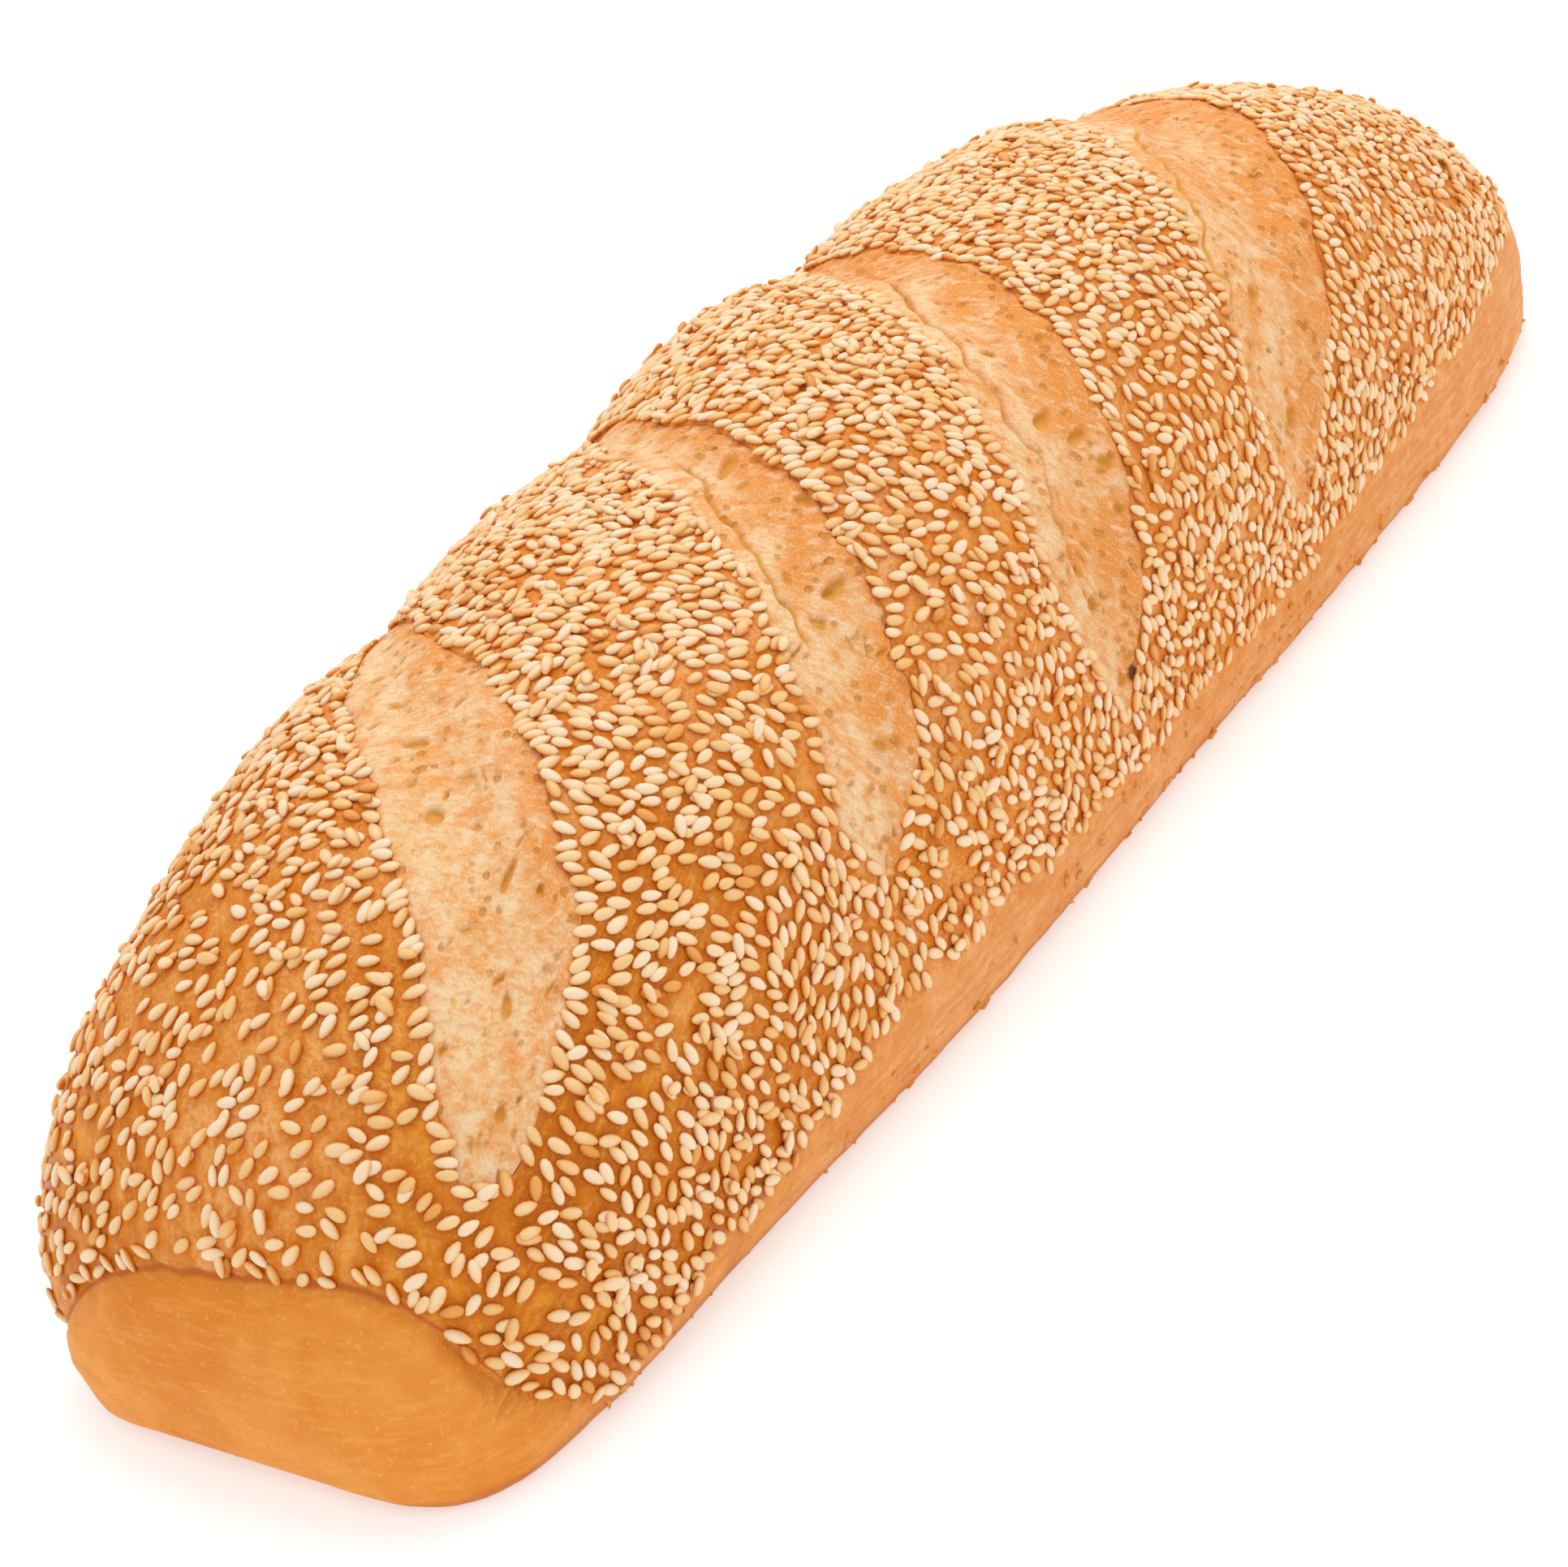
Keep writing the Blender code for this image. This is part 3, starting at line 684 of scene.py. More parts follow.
def surface_samples(count):
    """Random places on the crust, even by area: point, outward direction, x and turn."""
    grid = crust_points[:, np.r_[0:crust_points.shape[1], 0]]
    xs = ring_x[:, np.r_[0:ring_x.shape[1], 0]]
    ts = np.concatenate([ring_turn, ring_turn[:, :1]], axis=1)
    a, b, c = grid[:-1, :-1], grid[:-1, 1:], grid[1:, :-1]
    area = np.linalg.norm(np.cross(b - a, c - a), axis=-1)
    usable = (np.abs(ts[:-1, :-1]) < SEEDED_TURNS) & (np.abs(ts[:-1, 1:]) < SEEDED_TURNS)
    area = np.where(usable, area, 0.0).ravel()
    cells = draw.choice(area.size, size=count, p=area / area.sum())
    row, column = np.unravel_index(cells, usable.shape)
    u, v = draw.random(count), draw.random(count)

    def blend(field):
        shape = (count,) + (1,) * (field.ndim - 2)
        p, q = u.reshape(shape), v.reshape(shape)
        return ((1 - p) * (1 - q) * field[row, column] + (1 - p) * q * field[row, column + 1]
                + p * (1 - q) * field[row + 1, column] + p * q * field[row + 1, column + 1])

    x, turn = blend(xs), blend(ts)
    here = grid[row, column]
    normal = unit(np.cross(grid[row + 1, column] - here, grid[row, column + 1] - here))
    normal = normal * np.sign((normal * outward(x, turn)).sum(-1, keepdims=True))
    return blend(grid), normal, x, turn


def edge_samples():
    """Places in a row along both edges of every slash, where seeds rolled together as the dough opened."""
    xs, ts = [], []
    for slash in SLASHES:
        reach = np.arange(slash.low + 0.02, slash.high, EDGE_SPACING / math.hypot(TURN_METRES, slash.travel))
        reach = reach + draw.normal(0.0, EDGE_JITTER, len(reach))
        for edge, side in zip(slash_edges(slash, reach), (-1, 1)):
            xs.append(edge + side * (EDGE_INSET + np.abs(draw.normal(0.0, EDGE_SPREAD, len(reach)))))
            ts.append(reach)
    x, turn = np.concatenate(xs), np.concatenate(ts)
    plain, normal = plain_point(x, turn), outward(x, turn)
    return plain + normal * crust_relief(x, turn, plain)[..., None], normal, x, turn


print(SEED_TRIES, "places will be tried, and the edges of the slashes besides")

# %% Chance and direction of a seed
FLOOR_PLACES = (-0.165, -0.152, -0.143, -0.124, -0.108, -0.090, -0.069,
                -0.045, -0.010, 0.023, 0.057, 0.099, 0.142, 0.180)
FLOOR_HEIGHTS = (0.0038, 0.0049, 0.0058, 0.0081, 0.0112, 0.0150, 0.0150,
                 0.0124, 0.0111, 0.0115, 0.0136, 0.0180, 0.0241, 0.0280)
SEED_LINE, SEED_PATCHES, SEED_DRIFTS = Rough(0.0020, 0.009, 31), Rough(1.0, 0.0075, 37), Rough(0.9, 0.013, 41)
SPARSE_END, SPARSE_FLANK, FULLER_LOW = 0.92, 0.82, 0.17
LEAN_ON_CROWN, LEAN_ON_FLANK, LEAN_SPREAD = math.radians(-48), math.radians(-80), 0.40


def seed_floor(x):
    """Height at which the seeds stop above the table."""
    return np.interp(x, FLOOR_PLACES, FLOOR_HEIGHTS)


def sesame_cover(point, x, turn):
    """Chance from 0 to 1 that a seed may lie at each place."""
    wave = layered(point, SEED_LINE)
    floor = seed_floor(x)
    cover = smooth(point[:, 2] + wave, floor - 0.0005, floor + 0.0015)
    off_end = smooth(above_crease(point) + 0.8 * wave, -0.0004, 0.0012)
    cover = np.where(near_end(x) > 0, cover * off_end, cover)
    cover = np.where(inside_slash(x, turn) > -EDGE_INSET, 0.0, cover)
    low = fall(turn, -0.90, -0.62)
    sparse = SPARSE_END * fall(x, -0.150, -0.100) * (1.0 - low)
    flank = SPARSE_FLANK * smooth(np.abs(turn), 0.30, 0.75) - FULLER_LOW * low
    patches = smooth(layered(point, SEED_PATCHES), -0.80, -0.15)
    return cover * (1.0 - np.maximum(sparse, flank)) * (0.20 + 0.80 * patches)


def lie_of_seeds(point, normal, x, turn):
    """The direction of each seed's long axis: drifts across the slashes, and down the slope on the flanks."""
    along = unit(np.array([1.0, 0.0, 0.0]) - normal * normal[:, :1])
    down = unit(np.cross(normal, along))
    low = smooth(np.abs(turn), 0.55, 1.0)
    angle = LEAN_ON_CROWN * (1 - low) + LEAN_ON_FLANK * low
    angle = angle + layered(point, SEED_DRIFTS) + draw.normal(0.0, LEAN_SPREAD, len(x))
    return np.cos(angle)[:, None] * along + np.sin(angle)[:, None] * down


print("seeds stop", min(FLOOR_HEIGHTS), "to", max(FLOOR_HEIGHTS), "m above the table")

# %% Lay them apart
SEED_LENGTH, SEED_WIDTH, SEED_THICKNESS = 0.0034, 0.00182, 0.0012
CROWN_CLEAR, FLANK_CLEAR = 0.00098, 0.00116
DISC_OFFSETS = np.array([-0.00095, 0.0, 0.00095])  # a seed takes the room of three discs in a row
CELL = 0.0035
TOO_CLOSE, WITHIN_REACH = 1.1e-6, 1.2e-5  # squares of distances
SeedPlace = collections.namedtuple("SeedPlace", "centre axis normal")


def squared(p, q):
    return (p[0] - q[0]) ** 2 + (p[1] - q[1]) ** 2 + (p[2] - q[2]) ** 2


def overlap(apart, discs, others, clear):
    """Whether two seeds lie closer than they may."""
    if apart < TOO_CLOSE or apart >= WITHIN_REACH:
        return apart < TOO_CLOSE
    return min(squared(a, b) for a in discs for b in others) < clear ** 2


def lay_seeds():
    """Try every place in turn and keep those that lie clear of the seeds kept before, cell by cell."""
    point, normal, x, turn = surface_samples(SEED_TRIES)
    fine = draw.random(len(x)) < sesame_cover(point, x, turn)
    point, normal, x, turn = (np.concatenate([first, rest[fine]])
                              for first, rest in zip(edge_samples(), (point, normal, x, turn)))
    axis = lie_of_seeds(point, normal, x, turn)
    crown = fall(np.abs(turn), 0.20, 0.60) * smooth(x, -0.135, -0.100)
    clear = FLANK_CLEAR + (CROWN_CLEAR - FLANK_CLEAR) * crown
    discs = (point[:, None, :] + DISC_OFFSETS[None, :, None] * axis[:, None, :]).tolist()
    places = point.tolist()
    around = [(i, j, k) for i in (-1, 0, 1) for j in (-1, 0, 1) for k in (-1, 0, 1)]
    cells, kept = collections.defaultdict(list), []
    for n, p in enumerate(places):
        home = tuple(int(c // CELL) for c in p)
        near = (m for i, j, k in around for m in cells.get((home[0] + i, home[1] + j, home[2] + k), ()))
        if not any(overlap(squared(p, places[m]), discs[n], discs[m], clear[n]) for m in near):
            cells[home].append(n)
            kept.append(SeedPlace(Vector(point[n]), Vector(axis[n]), Vector(normal[n])))
    return kept


laid = lay_seeds()
print(len(laid), "seeds lie on the crust")

# %% Seeds across others
ON_TOP = 900
TOP_LIFT, TOP_ASIDE, TOP_ALONG, TOP_TIP = 0.00062, 0.0009, 0.0008, 0.35


def seeds_on_top(below, count):
    """A few seeds that came to lie across others, lifted and tilted."""
    extra = []
    for base in chance.sample(below, count):
        swing = Matrix.Rotation(chance.uniform(0.3, 1.3) * chance.choice((-1, 1)), 3, base.normal)
        axis = swing @ base.axis
        side = base.normal.cross(axis)
        centre = base.centre + base.normal * TOP_LIFT + side * chance.uniform(-TOP_ASIDE, TOP_ASIDE)
        centre = centre + axis * chance.uniform(-TOP_ALONG, TOP_ALONG)
        tipped = Matrix.Rotation(chance.uniform(-TOP_TIP, TOP_TIP), 3, side)
        extra.append(SeedPlace(centre, tipped @ axis, tipped @ base.normal))
    return extra


laid += seeds_on_top(laid, ON_TOP)
print(len(laid), "seeds with those on top")

# %% [markdown]
# ## Node trees as sums
#
# The seeds are laid by a tree of nodes, and the finishes are trees too. Writing one node after another
# hides what a tree means, so a small class wraps a socket: adding or multiplying two wrapped sockets adds
# the Math node for it, and every other node comes from one method.

# %% Wires
def linear(colour):
    """A screen colour from 0 to 255 as linear light."""
    shares = [c / 255 for c in colour]
    return tuple(c / 12.92 if c <= 0.04045 else ((c + 0.055) / 1.055) ** 2.4 for c in shares) + (1.0,)


class Wire:
    """An output of a node; sums, products and the like add the nodes that work them out."""

    def __init__(self, tree, socket=None):
        self.tree, self.socket = tree, socket

    def node(self, kind, settings=None, inputs=None, output=0):
        """Add a node, set it up, fill or link its inputs, and return one of its outputs."""
        made = self.tree.nodes.new(kind)
        for key, value in (settings or {}).items():
            setattr(made, key, value)
        for key, value in (inputs or {}).items():
            found = made.inputs[key] if isinstance(key, int) else next(
                s for s in made.inputs if s.name == key and s.enabled)
            if isinstance(value, Wire):
                self.tree.links.new(value.socket, found)
            else:
                found.default_value = value
        outputs = [s for s in made.outputs if s.enabled]
        return Wire(self.tree, outputs[output]) if outputs else made

    def maths(self, operation, first, second):
        return self.node("ShaderNodeMath", {"operation": operation}, {0: first, 1: second})

    def __add__(self, other):
        return self.maths("ADD", self, other)

    def __radd__(self, other):
        return self.maths("ADD", other, self)

    def __sub__(self, other):
        return self.maths("SUBTRACT", self, other)

    def __rsub__(self, other):
        return self.maths("SUBTRACT", other, self)

    def __mul__(self, other):
        return self.maths("MULTIPLY", self, other)

    def __rmul__(self, other):
        return self.maths("MULTIPLY", other, self)

    def __abs__(self):
        return self.maths("ABSOLUTE", self, 0.0)

    def between(self, low, high):
        """0 below low, 1 above high and an S between."""
        return self.node("ShaderNodeMapRange", {"interpolation_type": "SMOOTHSTEP"},
                         {"Value": self, "From Min": low, "From Max": high})

    def over(self, below, colour):
        """This share of a colour laid over the one below; a colour is a wire, or as it looks on a screen."""
        below, colour = (c if isinstance(c, Wire) else linear(c) for c in (below, colour))
        return self.node("ShaderNodeMix", {"data_type": "RGBA", "clamp_factor": True},
                         {"Factor": self, "A": below, "B": colour})

    def object_place(self):
        """Object coordinates, in metres."""
        return self.node("ShaderNodeTexCoord", output=3)

    def field(self, name, output=2):
        """A number kept on the vertices."""
        return self.node("ShaderNodeAttribute", {"attribute_name": name}, output=output)

    def scaled(self, *factors):
        """These coordinates, stretched along each axis."""
        return self.node("ShaderNodeMapping", {}, {"Vector": self, "Scale": factors})

    def noise(self, scale, detail, roughness, distortion=0.0):
        """Noise at these coordinates."""
        return self.node("ShaderNodeTexNoise", {}, {"Vector": self, "Scale": scale, "Detail": detail,
                                                    "Roughness": roughness, "Distortion": distortion})

    def bump(self, strength, distance, below=None):
        """The normal of this height, on top of another bump where there is one."""
        inputs = {"Height": self, "Strength": strength, "Distance": distance}
        if below is not None:
            inputs["Normal"] = below
        return self.node("ShaderNodeBump", {}, inputs)


print("middle grey as linear light:", linear((128, 128, 128)))

# %% [markdown]
# ## One seed, and the node tree that lays them
#
# A hulled sesame seed is a flat teardrop a little over three millimetres long. One is modelled for each
# kind, from ivory to toasted, and a node tree sets it on every place of its kind. Copying objects
# would do the same, but the tree keeps the size and its spread as inputs that can be changed at once.

# %% One seed
SEED_SIDES, SEED_RINGS = 8, 6
SEED_TAPER, TIP_TAPER = 0.26, 0.40


def seed_model(name):
    """A flat teardrop, round at one end and pointed at the other, lying along X."""
    shape = bmesh.new()
    bmesh.ops.create_uvsphere(shape, u_segments=SEED_SIDES, v_segments=SEED_RINGS, radius=0.5)
    # rim and tip set each seed's toasting; low, its downward side, sets the painted shade where it lies on
    # the crust
    fields = {"rim": [], "low": [], "tip": []}
    for vertex in shape.verts:
        along, across, up = vertex.co.z, vertex.co.x, vertex.co.y
        for field, value in zip(fields.values(), (abs(across) * 2, -up * 2, along)):
            field.append(value)
        taper = 1.0 - SEED_TAPER * along - TIP_TAPER * max(along, 0.0) ** 2
        vertex.co = (along * SEED_LENGTH, across * SEED_WIDTH * taper, up * SEED_THICKNESS * taper)
    piece = bpy.data.objects.new(name, mesh_of(name, shape))
    piece.data.shade_smooth()
    for field, values in fields.items():
        keep(piece, field, values)
    return piece


print(f"a seed is {SEED_LENGTH * 1000:.1f} mm long and {SEED_WIDTH * 1000:.1f} mm wide")

# %% The node tree that lays seeds
SEED_SOCKETS = {"Places": "Geometry", "Seed": "Object", "Size": "Float", "Spread": "Float", "Chance": "Int",
                "Finish": "Material"}


def seed_tree():
    """Set a seed on every place, with its own turn and size, make all of them real and give them a finish."""
    tree = bpy.data.node_groups.new("lay_seeds", "GeometryNodeTree")
    inputs = {name: tree.interface.new_socket(name, in_out="INPUT", socket_type="NodeSocket" + kind)
              for name, kind in SEED_SOCKETS.items()}
    tree.interface.new_socket("Seeds", in_out="OUTPUT", socket_type="NodeSocketGeometry")
    start, new = tree.nodes.new("NodeGroupInput"), Wire(tree).node
    places, seed, size, spread, number, finish = (Wire(tree, start.outputs[name]) for name in SEED_SOCKETS)
    varied = new("FunctionNodeRandomValue", {"data_type": "FLOAT"},
                 {"Min": 1.0 - spread, "Max": 1.0 + spread, "Seed": number})
    lie = new("GeometryNodeInputNamedAttribute", {"data_type": "FLOAT_VECTOR"}, {"Name": "lie"})
    turned = new("FunctionNodeEulerToRotation", {}, {"Euler": lie})
    model = new("GeometryNodeObjectInfo", {}, {"Object": seed}, output=-1)
    placed = new("GeometryNodeInstanceOnPoints", {}, {"Points": places, "Instance": model, "Rotation": turned,
                                                      "Scale": varied * size})
    real = new("GeometryNodeRealizeInstances", {}, {"Geometry": placed})
    finished = new("GeometryNodeSetMaterial", {}, {"Geometry": real, "Material": finish})
    new("NodeGroupOutput", {}, {"Seeds": finished})
    return tree, {name: socket.identifier for name, socket in inputs.items()}


LAY_SEEDS, SEED_INPUTS = seed_tree()
print("the tree that lays seeds has", len(LAY_SEEDS.nodes), "nodes and the inputs", *SEED_INPUTS)

# %% Lay one kind of seed
SEED_SUNK = 0.0003
SIZE_SPREAD, SEED_NOD, SEED_ROCK = 0.12, 0.06, 0.10


def lie_angles(place):
    """Euler angles of a seed along its axis, flat on the crust but for a little nodding and rocking."""
    axis = (place.axis - place.normal * place.axis.dot(place.normal)).normalized() * chance.choice((-1, 1))
    normal = (place.normal + axis * chance.gauss(0, SEED_NOD)).normalized()
    normal = Matrix.Rotation(chance.gauss(0, SEED_ROCK), 3, axis) @ normal
    axis = (axis - normal * axis.dot(normal)).normalized()
    return Matrix((axis, normal.cross(axis), normal)).transposed().to_euler()


def lay(name, places, material, number):
    """Run the tree for one kind of seed and keep its result as a plain mesh."""
    spots = bpy.data.meshes.new(name)
    lift = SEED_THICKNESS / 2 - SEED_SUNK
    spots.from_pydata([tuple(p.centre + p.normal * lift) for p in places], [], [])
    lie = spots.attributes.new("lie", "FLOAT_VECTOR", "POINT")
    lie.data.foreach_set("vector", [angle for p in places for angle in lie_angles(p)])
    tone = spots.attributes.new("tone", "FLOAT", "POINT")
    tone.data.foreach_set("value", [chance.random() for _ in places])
    piece = new_piece(name, spots)
    modifier = piece.modifiers.new("lay", "NODES")
    modifier.node_group = LAY_SEEDS
    chosen = {"Seed": seed_model(name + "_model"), "Size": 1.0, "Spread": SIZE_SPREAD, "Chance": number,
              "Finish": material}
    for key, value in chosen.items():
        modifier[SEED_INPUTS[key]] = value
    graph = bpy.context.evaluated_depsgraph_get()
    mesh = bpy.data.meshes.new_from_object(piece.evaluated_get(graph))
    piece.modifiers.remove(modifier)
    piece.data = mesh
    piece.data.name = name
    print(name, len(places), "seeds,", sum(len(f.vertices) - 2 for f in mesh.polygons), "triangles")
    return piece


# %% [markdown]
# ## Fields for the crust's colours
#
# A crust browns by its place: the near end and the low band beside it are glazed amber, the foot stays
# pale and dry, the torn rims catch most heat. Close round every seed the crust is given painted shade. These
# places are known here from the shape, so each is kept as a number on the vertices. The material only has
# to mix colours by them, and no picture is needed.

# %% Fields on the crust
PATCH_EDGES, DRY_PATCHES = Rough(1.0, 0.016, 51), Rough(1.0, 0.026, 61)
LOW_GLAZE, DRY_SHARE, DRY_SPOT_SHARE = 0.70, 0.70, 0.9
DRY_SPOT, DRY_SPOT_REACH = (-0.170, -0.08), (0.016, 0.30)  # x in metres, and turn
RIM_FADE = 0.0011
# painted shade round the seeds: full within the first distance of a seed, none past the second
SEED_SHADE_FROM, SEED_SHADE_TO = 0.0012, 0.0023


def glaze_on_crust(x, turn, above, end, wave):
    """The amber shine round the near end and low on its flank, broken by dry patches."""
    nose = fall(x - 0.012 * wave, -0.150, -0.116)
    low_band = fall(turn - 0.12 * wave, -0.62, -0.30) * fall(x, -0.120, -0.060)
    dry = DRY_SHARE * smooth(layered(crust_points, DRY_PATCHES), 0.05, 0.60)
    away = [(value - middle) / reach for value, middle, reach in zip((x, turn), DRY_SPOT, DRY_SPOT_REACH)]
    dry = np.maximum(dry, DRY_SPOT_SHARE * np.exp(-away[0] ** 2 - away[1] ** 2))
    glaze = np.clip(nose + LOW_GLAZE * low_band, 0.0, 1.0)
    return glaze * (1.0 - end * fall(above, -0.001, 0.001)) * (1.0 - dry)


def nearest_seeds(points):
    """Distance from each point to the nearest seed."""
    tree = kdtree.KDTree(len(laid))
    for number, seed in enumerate(laid):
        tree.insert(seed.centre, number)
    tree.balance()
    return np.array([tree.find(point)[2] for point in points.reshape(-1, 3)]).reshape(points.shape[:-1])


def crust_fields():
    x, turn, height = ring_x, ring_turn, crust_points[..., 2]
    above, end = above_crease(crust_points), near_end(x)
    wave = layered(crust_points, PATCH_EDGES)
    depth = inside_slash(x, turn)
    floor = seed_floor(x)
    return {
        "glaze": glaze_on_crust(x, turn, above, end, wave),
        "end": end,
        "above": np.clip((above - 0.0004 * wave) * 1000, -5.0, 5.0),  # millimetres over the crease
        "rim": np.where(depth > 0, 1.0, np.exp(np.minimum(depth, 0.0) / RIM_FADE)),
        "bare": fall(height - 0.002 * wave, floor - 0.003, floor + 0.003),
        "under": fall(height, 0.0010, 0.0026),
        # painted shade round the seeds, a little weaker towards the far end
        "seed_shade": fall(nearest_seeds(crust_points), SEED_SHADE_FROM, SEED_SHADE_TO) * (1.0 - 0.4 * smooth(x, -0.04, 0.08)),
    }


for name, values in crust_fields().items():
    keep(crust, name, values)
    print(name, f"runs from {values.min():.2f} to {values.max():.2f}, {values.mean():.2f} on average")

# %% [markdown]
# ## The crust's material
#
# A thin crust browned over dough is tan where it stayed dry, amber where steam and sugar glazed it, and
# red-brown along torn rims. The red-brown line in the crease at the near end, and the darker crust round
# every seed, are painted shade. The crust's shine follows the same places. Fine noise breaks each colour
# up, and a low bump gives the skin its tiny blisters. One spot burnt at the edge of the third slash. An
# image could be painted, but shares of plain colours laid over one another can be read and changed.

# %% Crust material
BURNT, BURNT_SHARE = (92, 38, 4), 0.95
BURNT_AT, BURNT_REACH = (-0.0128, -0.0515, 0.0268), (0.9, 2.0)  # place in metres, reach in millimetres


def new_material(name):
    """An empty material and a wire to start its tree from."""
    material = bpy.data.materials.new(name)
    material.use_nodes = True
    material.node_tree.nodes.clear()
    return material, Wire(material.node_tree)


def finish_material(material, **inputs):
    """A Principled surface with the given inputs, set as the material's surface."""
    paint = Wire(material.node_tree)
    inputs = {key.replace("_", " "): value for key, value in inputs.items()}
    surface = paint.node("ShaderNodeBsdfPrincipled", {}, inputs)
    paint.node("ShaderNodeOutputMaterial", {}, {"Surface": surface})
    print(material.name, "has", len(material.node_tree.nodes), "nodes")
    return material


def tinted(skin, *tints):
    """A colour with others laid over it in turn, each given as a share and a colour."""
    for share, colour in tints:
        skin = share.over(skin, colour)
    return skin


def burnt(place, ragged):
    """The share of the burnt spot, which is no larger than a seed and ragged at its edge."""
    away = place.node("ShaderNodeVectorMath", {"operation": "DISTANCE"}, {0: place, 1: BURNT_AT})
    return (1.0 - (away * 1000 + ragged * 1.6 - 0.8).between(*BURNT_REACH)) * BURNT_SHARE


def crust_material():
    material, paint = new_material("baked_crust")
    place = paint.object_place()
    broad = place.noise(42.0, 3.0, 0.6)
    mottle = place.noise(190.0, 4.0, 0.7, 0.4)
    fine = place.noise(520.0, 4.0, 0.7)
    specks = place.noise(1300.0, 2.0, 0.6)
    streaks = place.scaled(14.0, 14.0, 110.0).noise(9.0, 5.0, 0.7)
    glaze, bare, end, above = (paint.field(name) for name in ("glaze", "bare", "end", "above"))
    rim, under, seed_shade = (paint.field(name) for name in ("rim", "under", "seed_shade"))
    end_face = end * (1.0 - (above + fine * 0.3).between(-0.2, 0.4))
    # painted shade: a red-brown line along the crease between the seeded crust and the bare near end
    crease = end * (1.0 - abs(above + mottle * 0.8 - 0.1).between(0.10, 0.70))
    smoother = 1.0 - bare * 0.6
    dark, light = mottle.between(0.46, 0.60), mottle.between(0.46, 0.34)

    amber = tinted(
        broad.between(0.35, 0.68).over((236, 152, 26), (214, 124, 0)),
        (dark * 0.55, (198, 106, 0)),
        (mottle.between(0.45, 0.34) * 0.40, (242, 166, 52)))
    pale = tinted(
        streaks.between(0.40, 0.66).over((226, 148, 80), (236, 173, 114)),
        (dark * 0.30, (218, 134, 56)),
        (mottle.between(0.44, 0.34) * 0.30, (246, 194, 136)))
    face = tinted(
        broad.between(0.34, 0.66).over((236, 154, 64), (222, 130, 36)),
        (streaks.between(0.46, 0.66) * 0.35, (248, 172, 84)),
        (dark * 0.30, (222, 130, 38)),
        (specks.between(0.60, 0.70) * 0.30, (246, 194, 118)))
    skin = tinted(
        broad.between(0.36, 0.66).over((240, 172, 106), (232, 150, 68)),
        (dark * 0.50, (220, 130, 34)),
        (light * 0.50, (246, 190, 126)),
        (glaze * 0.95, amber),
        # painted shade round the seeds, darker still on the glazed crust
        (seed_shade * (0.40 + 0.50 * mottle.between(0.35, 0.62)), (226, 124, 0)),
        (seed_shade * glaze * 0.65, (180, 90, 0)),
        (bare * (1.0 - glaze * 0.55) * 0.90, pale),
        (fine.between(0.50, 0.64) * 0.45 * smoother, (208, 114, 14)),
        (specks.between(0.54, 0.68) * 0.35 * smoother * (1.0 - glaze * 0.5), (246, 194, 130)),
        (specks.between(0.45, 0.34) * 0.35 * smoother, (198, 106, 12)),
        (end_face, face),
        (under * 0.7, (196, 116, 50)),
        # painted shade in the crease at the near end
        (crease * 0.75, (186, 90, 26)),
        (rim * 0.60, (238, 158, 72)),
        (burnt(place, specks), BURNT))

    relief = smoother * (1.0 - end * 0.75)
    grain = (specks * relief).bump(0.50, 0.0004)
    blisters = (fine * relief).bump(0.65, 0.0010, grain)
    waves = (mottle * relief).bump(0.60, 0.0016, blisters)
    return finish_material(material, Base_Color=skin, Normal=waves, Specular_IOR_Level=0.14,
                           Roughness=0.60 - glaze * 0.22 - end_face * 0.10 + fine * 0.10,
                           Coat_Weight=glaze * 0.06, Coat_Roughness=0.25)


CRUST = crust_material()

# %% [markdown]
# ## The crumb's material
#
# Crumb bakes from cream to orange, most on the side of each slash that faced the heat. Pores and folds are
# painted olive-brown inside and the small holes orange-brown, as painted shade. Fibres run across the
# opening, so the noise for them is stretched that way with the grain that was kept on each vertex. Noise on
# Object coordinates could not follow them.

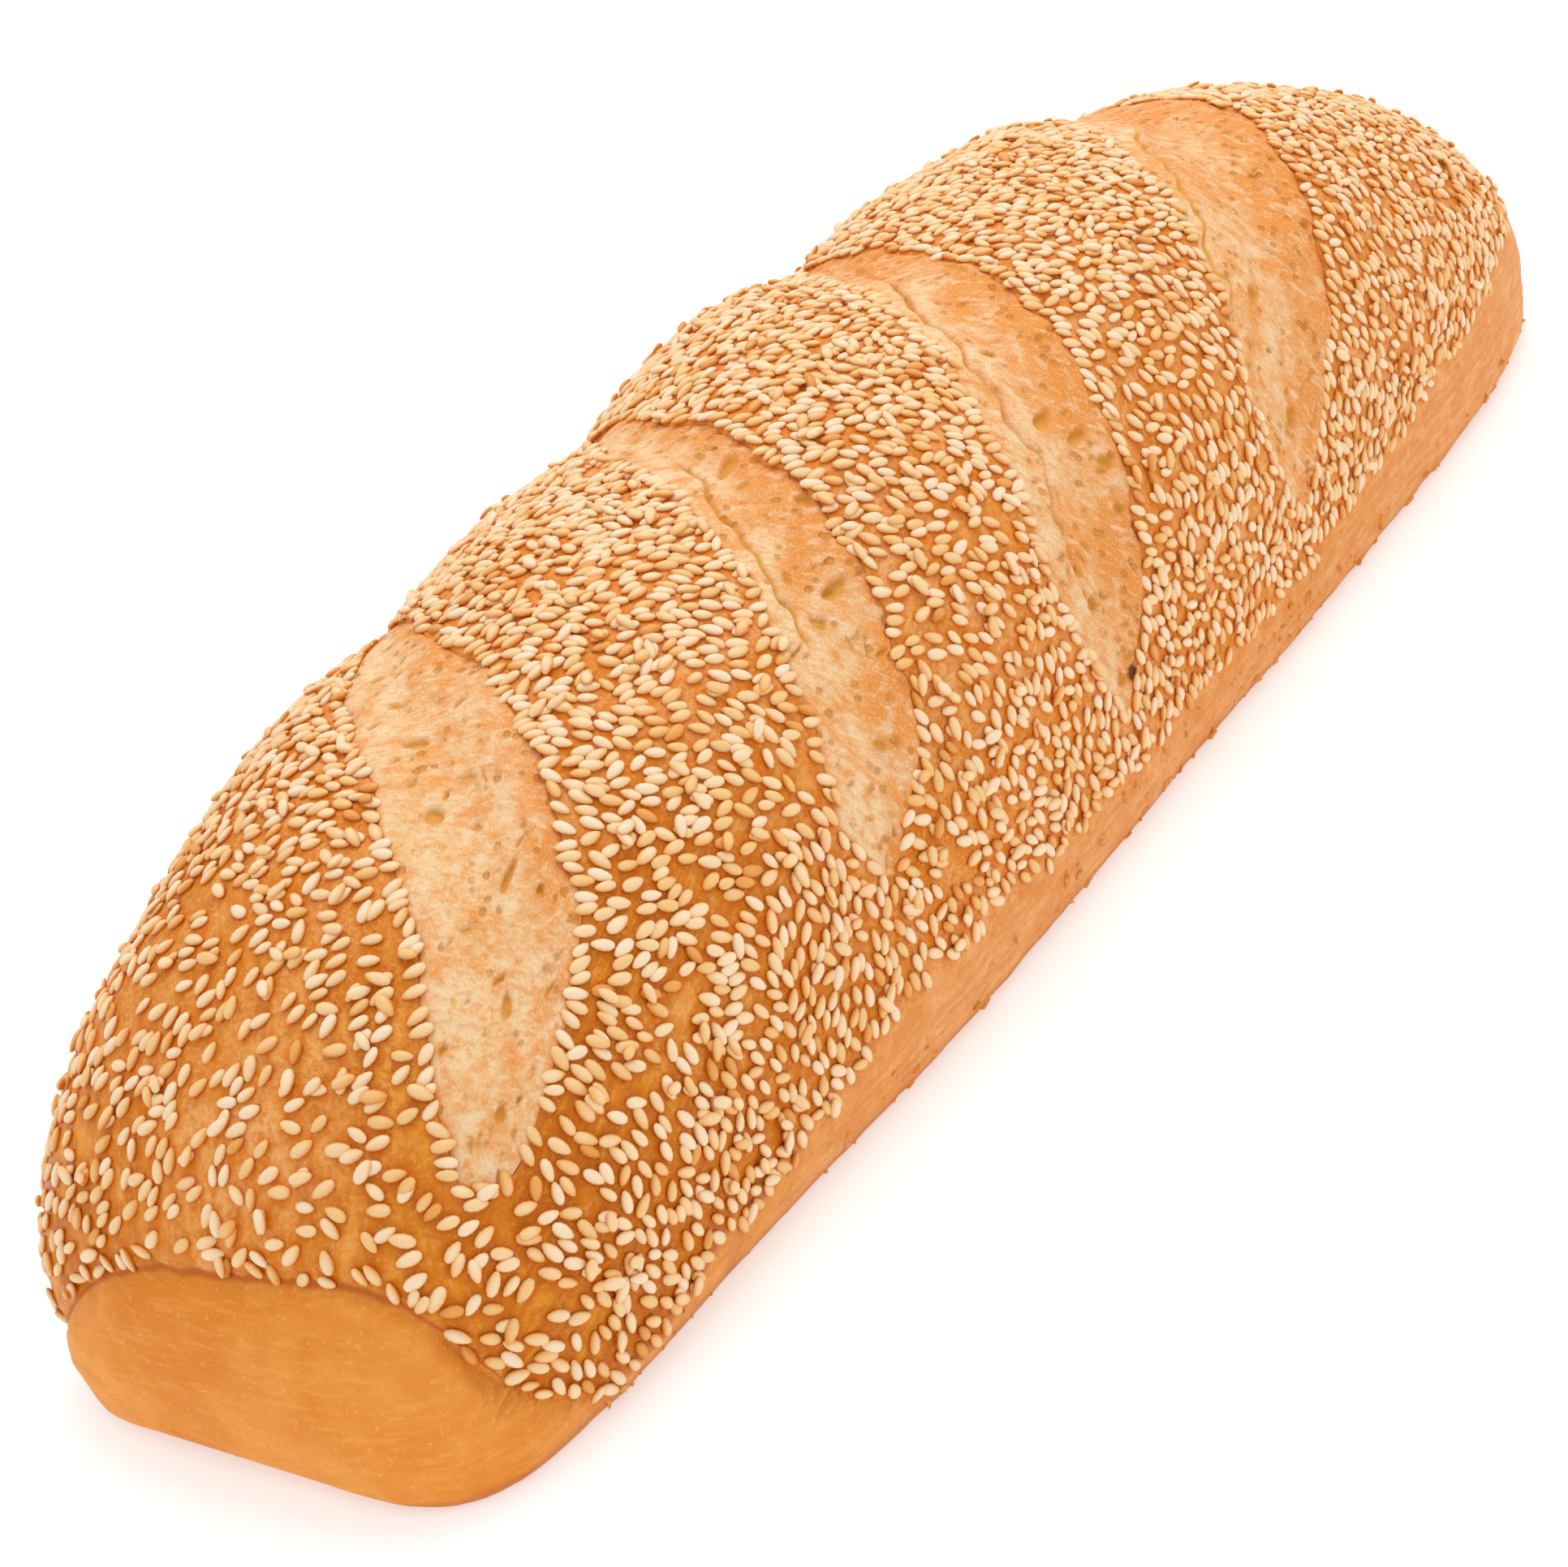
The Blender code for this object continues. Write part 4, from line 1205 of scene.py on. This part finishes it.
# %% Crumb material
def crumb_material():
    material, paint = new_material("torn_crumb")
    grain = paint.field("grain", output=1)
    pit_shade, place, side = (paint.field(name) for name in ("pit_shade", "place", "side"))
    fibres = grain.scaled(0.22, 1.0, 1.0).noise(1300.0, 3.0, 0.65)
    wisps = grain.scaled(0.40, 1.0, 1.0).noise(380.0, 4.0, 0.7, 0.6)
    broad = grain.noise(85.0, 3.0, 0.6)
    specks = grain.noise(2300.0, 2.0, 0.6)
    cells = paint.node("ShaderNodeTexVoronoi", {}, {"Vector": grain.scaled(0.55, 1.0, 1.0), "Scale": 470.0,
                                                    "Randomness": 1.0})
    # painted shade: small holes in the crumb are painted darker, and they also dent its bump
    shaded_holes = (1.0 - cells.between(0.14, 0.30)) * (broad + side * 0.30).between(0.44, 0.56)
    toast = (side + broad * 1.3 - 0.36).between(0.05, 0.80)
    edge = (abs(place) + broad * 0.10).between(0.90, 1.04)

    skin = tinted(
        broad.between(0.38, 0.66).over((237, 201, 152), (235, 183, 122)),
        (toast, (227, 144, 62)),
        (wisps.between(0.50, 0.64) * 0.65, (232, 144, 56)),
        (wisps.between(0.49, 0.36) * 0.50, (241, 213, 172)),
        (fibres.between(0.50, 0.64) * 0.45, (228, 138, 50)),
        (fibres.between(0.46, 0.32) * 0.40, (243, 217, 180)),
        (specks.between(0.54, 0.66) * 0.35, (249, 222, 186)),
        (specks.between(0.46, 0.32) * 0.35, (220, 132, 44)),
        # painted shade in the small holes, and in the pores and folds
        (shaded_holes * 0.70, (206, 126, 34)),
        (pit_shade.between(0.20, 0.85) * 0.85, (218, 150, 50)),
        (edge * 0.5, (236, 156, 72)),
        (burnt(paint.object_place(), specks), BURNT))
    fine = specks.bump(0.35, 0.0002)
    pitted = (1.0 - shaded_holes).bump(0.60, 0.0006, fine)
    drawn = (fibres + wisps).bump(0.50, 0.0005, pitted)
    return finish_material(material, Base_Color=skin, Roughness=0.62 + fibres * 0.1, Normal=drawn,
                           Specular_IOR_Level=0.2)


CRUMB = crumb_material()
for piece in crumbs:
    piece.data.materials.append(CRUMB)
for piece in (crust, flakes):
    piece.data.materials.append(CRUST)

# %% [markdown]
# ## The seeds' material
#
# A hulled seed is ivory in the middle and honey coloured at its edge and tip, where it toasts first. Its
# lower side, where it lies on the crust, is painted honey and amber-brown as painted shade. One rule serves
# the five kinds with different colours, and every seed's own tone shifts it a little.

# %% Seed materials: share of all seeds, colour in the middle, colour at the edge, roughness
SEED_KINDS = {
    "ivory": (0.26, (246, 219, 184), (240, 184, 108), 0.42),
    "cream": (0.26, (245, 214, 170), (240, 176, 94), 0.42),
    "straw": (0.25, (243, 206, 154), (236, 164, 80), 0.42),
    "golden": (0.19, (240, 195, 130), (230, 152, 62), 0.42),
    "toasted": (0.04, (232, 162, 80), (208, 122, 38), 0.45),
}
# painted shade: the colour of each seed's underside, where it lies on the crust
UNDERSIDE_SHADE = (222, 130, 24)


def seed_material(kind, middle, edge, roughness):
    material, paint = new_material("sesame_" + kind)
    rim, tip, tone, low = (paint.field(name) for name in ("rim", "tip", "tone", "low"))
    fine = paint.object_place().noise(1600.0, 2.0, 0.5)
    # toasting by edge, tip, tone and noise, with painted shade added on the lower side
    toast_and_shade = low * 0.60 + rim * 0.15 + tip * 0.35 + tone * 0.45 + fine * 0.30
    skin = tinted(
        toast_and_shade.between(-0.22, 0.68).over(middle, edge),
        # painted shade on the underside
        (low.between(-0.30, 0.45) * 0.85, UNDERSIDE_SHADE))
    return finish_material(material, Base_Color=skin, Roughness=roughness, Normal=fine.bump(0.25, 0.0002),
                           Specular_IOR_Level=0.35)


# %% Lay the seeds
chosen = chance.choices(list(SEED_KINDS), weights=[looks[0] for looks in SEED_KINDS.values()], k=len(laid))
seeds = []
for number, (kind, (share, *looks)) in enumerate(SEED_KINDS.items(), 1):
    places = [place for place, its_kind in zip(laid, chosen) if its_kind == kind]
    seeds.append(lay("seeds_" + kind, places, seed_material(kind, *looks), number))

# %% [markdown]
# ## Every piece on the loaf's body
#
# All of it is the one solid loaf. The plain loaf from model.glb is hidden, and every piece hangs on the root
# body.

# %% Pieces
for piece in [crust, flakes, *crumbs]:
    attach(piece, "root")
    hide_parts("loaf")
for piece in seeds:
    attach(piece, "root")
    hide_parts("loaf")
print(len(crumbs) + len(seeds) + 2, "pieces ride on the loaf")

# %% [markdown]
# ## Floor and light
#
# The loaf is shown on plain white under one broad lamp, high above and past its far end, with white all
# round to fill its shadows. The floor glows a little, so that it stays white close to the loaf as well.

# %% Floor
FLOOR_REACH, FLOOR_GAP = 1.6, 0.0002
FLOOR_GREY, FLOOR_GLOW = 0.70, 0.44


def floor_plane():
    shape = bmesh.new()
    bmesh.ops.create_grid(shape, x_segments=1, y_segments=1, size=FLOOR_REACH)
    piece = new_piece("floor", mesh_of("floor", shape))
    piece.location.z = -FLOOR_GAP
    material, _ = new_material("floor")
    piece.data.materials.append(finish_material(
        material, Base_Color=(FLOOR_GREY, FLOOR_GREY, FLOOR_GREY, 1.0), Roughness=0.9,
        Emission_Color=(1.0, 1.0, 1.0, 1.0), Emission_Strength=FLOOR_GLOW))
    return piece


floor_plane()

# %% Light
LAMP_PLACE, LAMP_AIM = (0.34, 0.04, 1.08), (0.0, 0.0, 0.03)
LAMP_SIZE, LAMP_WATTS = 0.60, 4.6
ROOM_STRENGTH = 0.87

light = bpy.data.lights.new("key", "AREA")
light.size, light.energy = LAMP_SIZE, LAMP_WATTS
lamp = bpy.data.objects.new("key", light)
lamp.location = LAMP_PLACE
lamp.rotation_euler = (Vector(LAMP_AIM) - Vector(LAMP_PLACE)).to_track_quat("-Z", "Y").to_euler()
bpy.context.collection.objects.link(lamp)

room = bpy.data.worlds.new("white_room")
room.use_nodes = True
background = room.node_tree.nodes["Background"].inputs
background["Color"].default_value = (1.0, 1.0, 1.0, 1.0)
background["Strength"].default_value = ROOM_STRENGTH
bpy.context.scene.world = room
bpy.context.scene.view_settings.view_transform = "Standard"
print("lamp at", LAMP_PLACE, "of", LAMP_WATTS, "W")
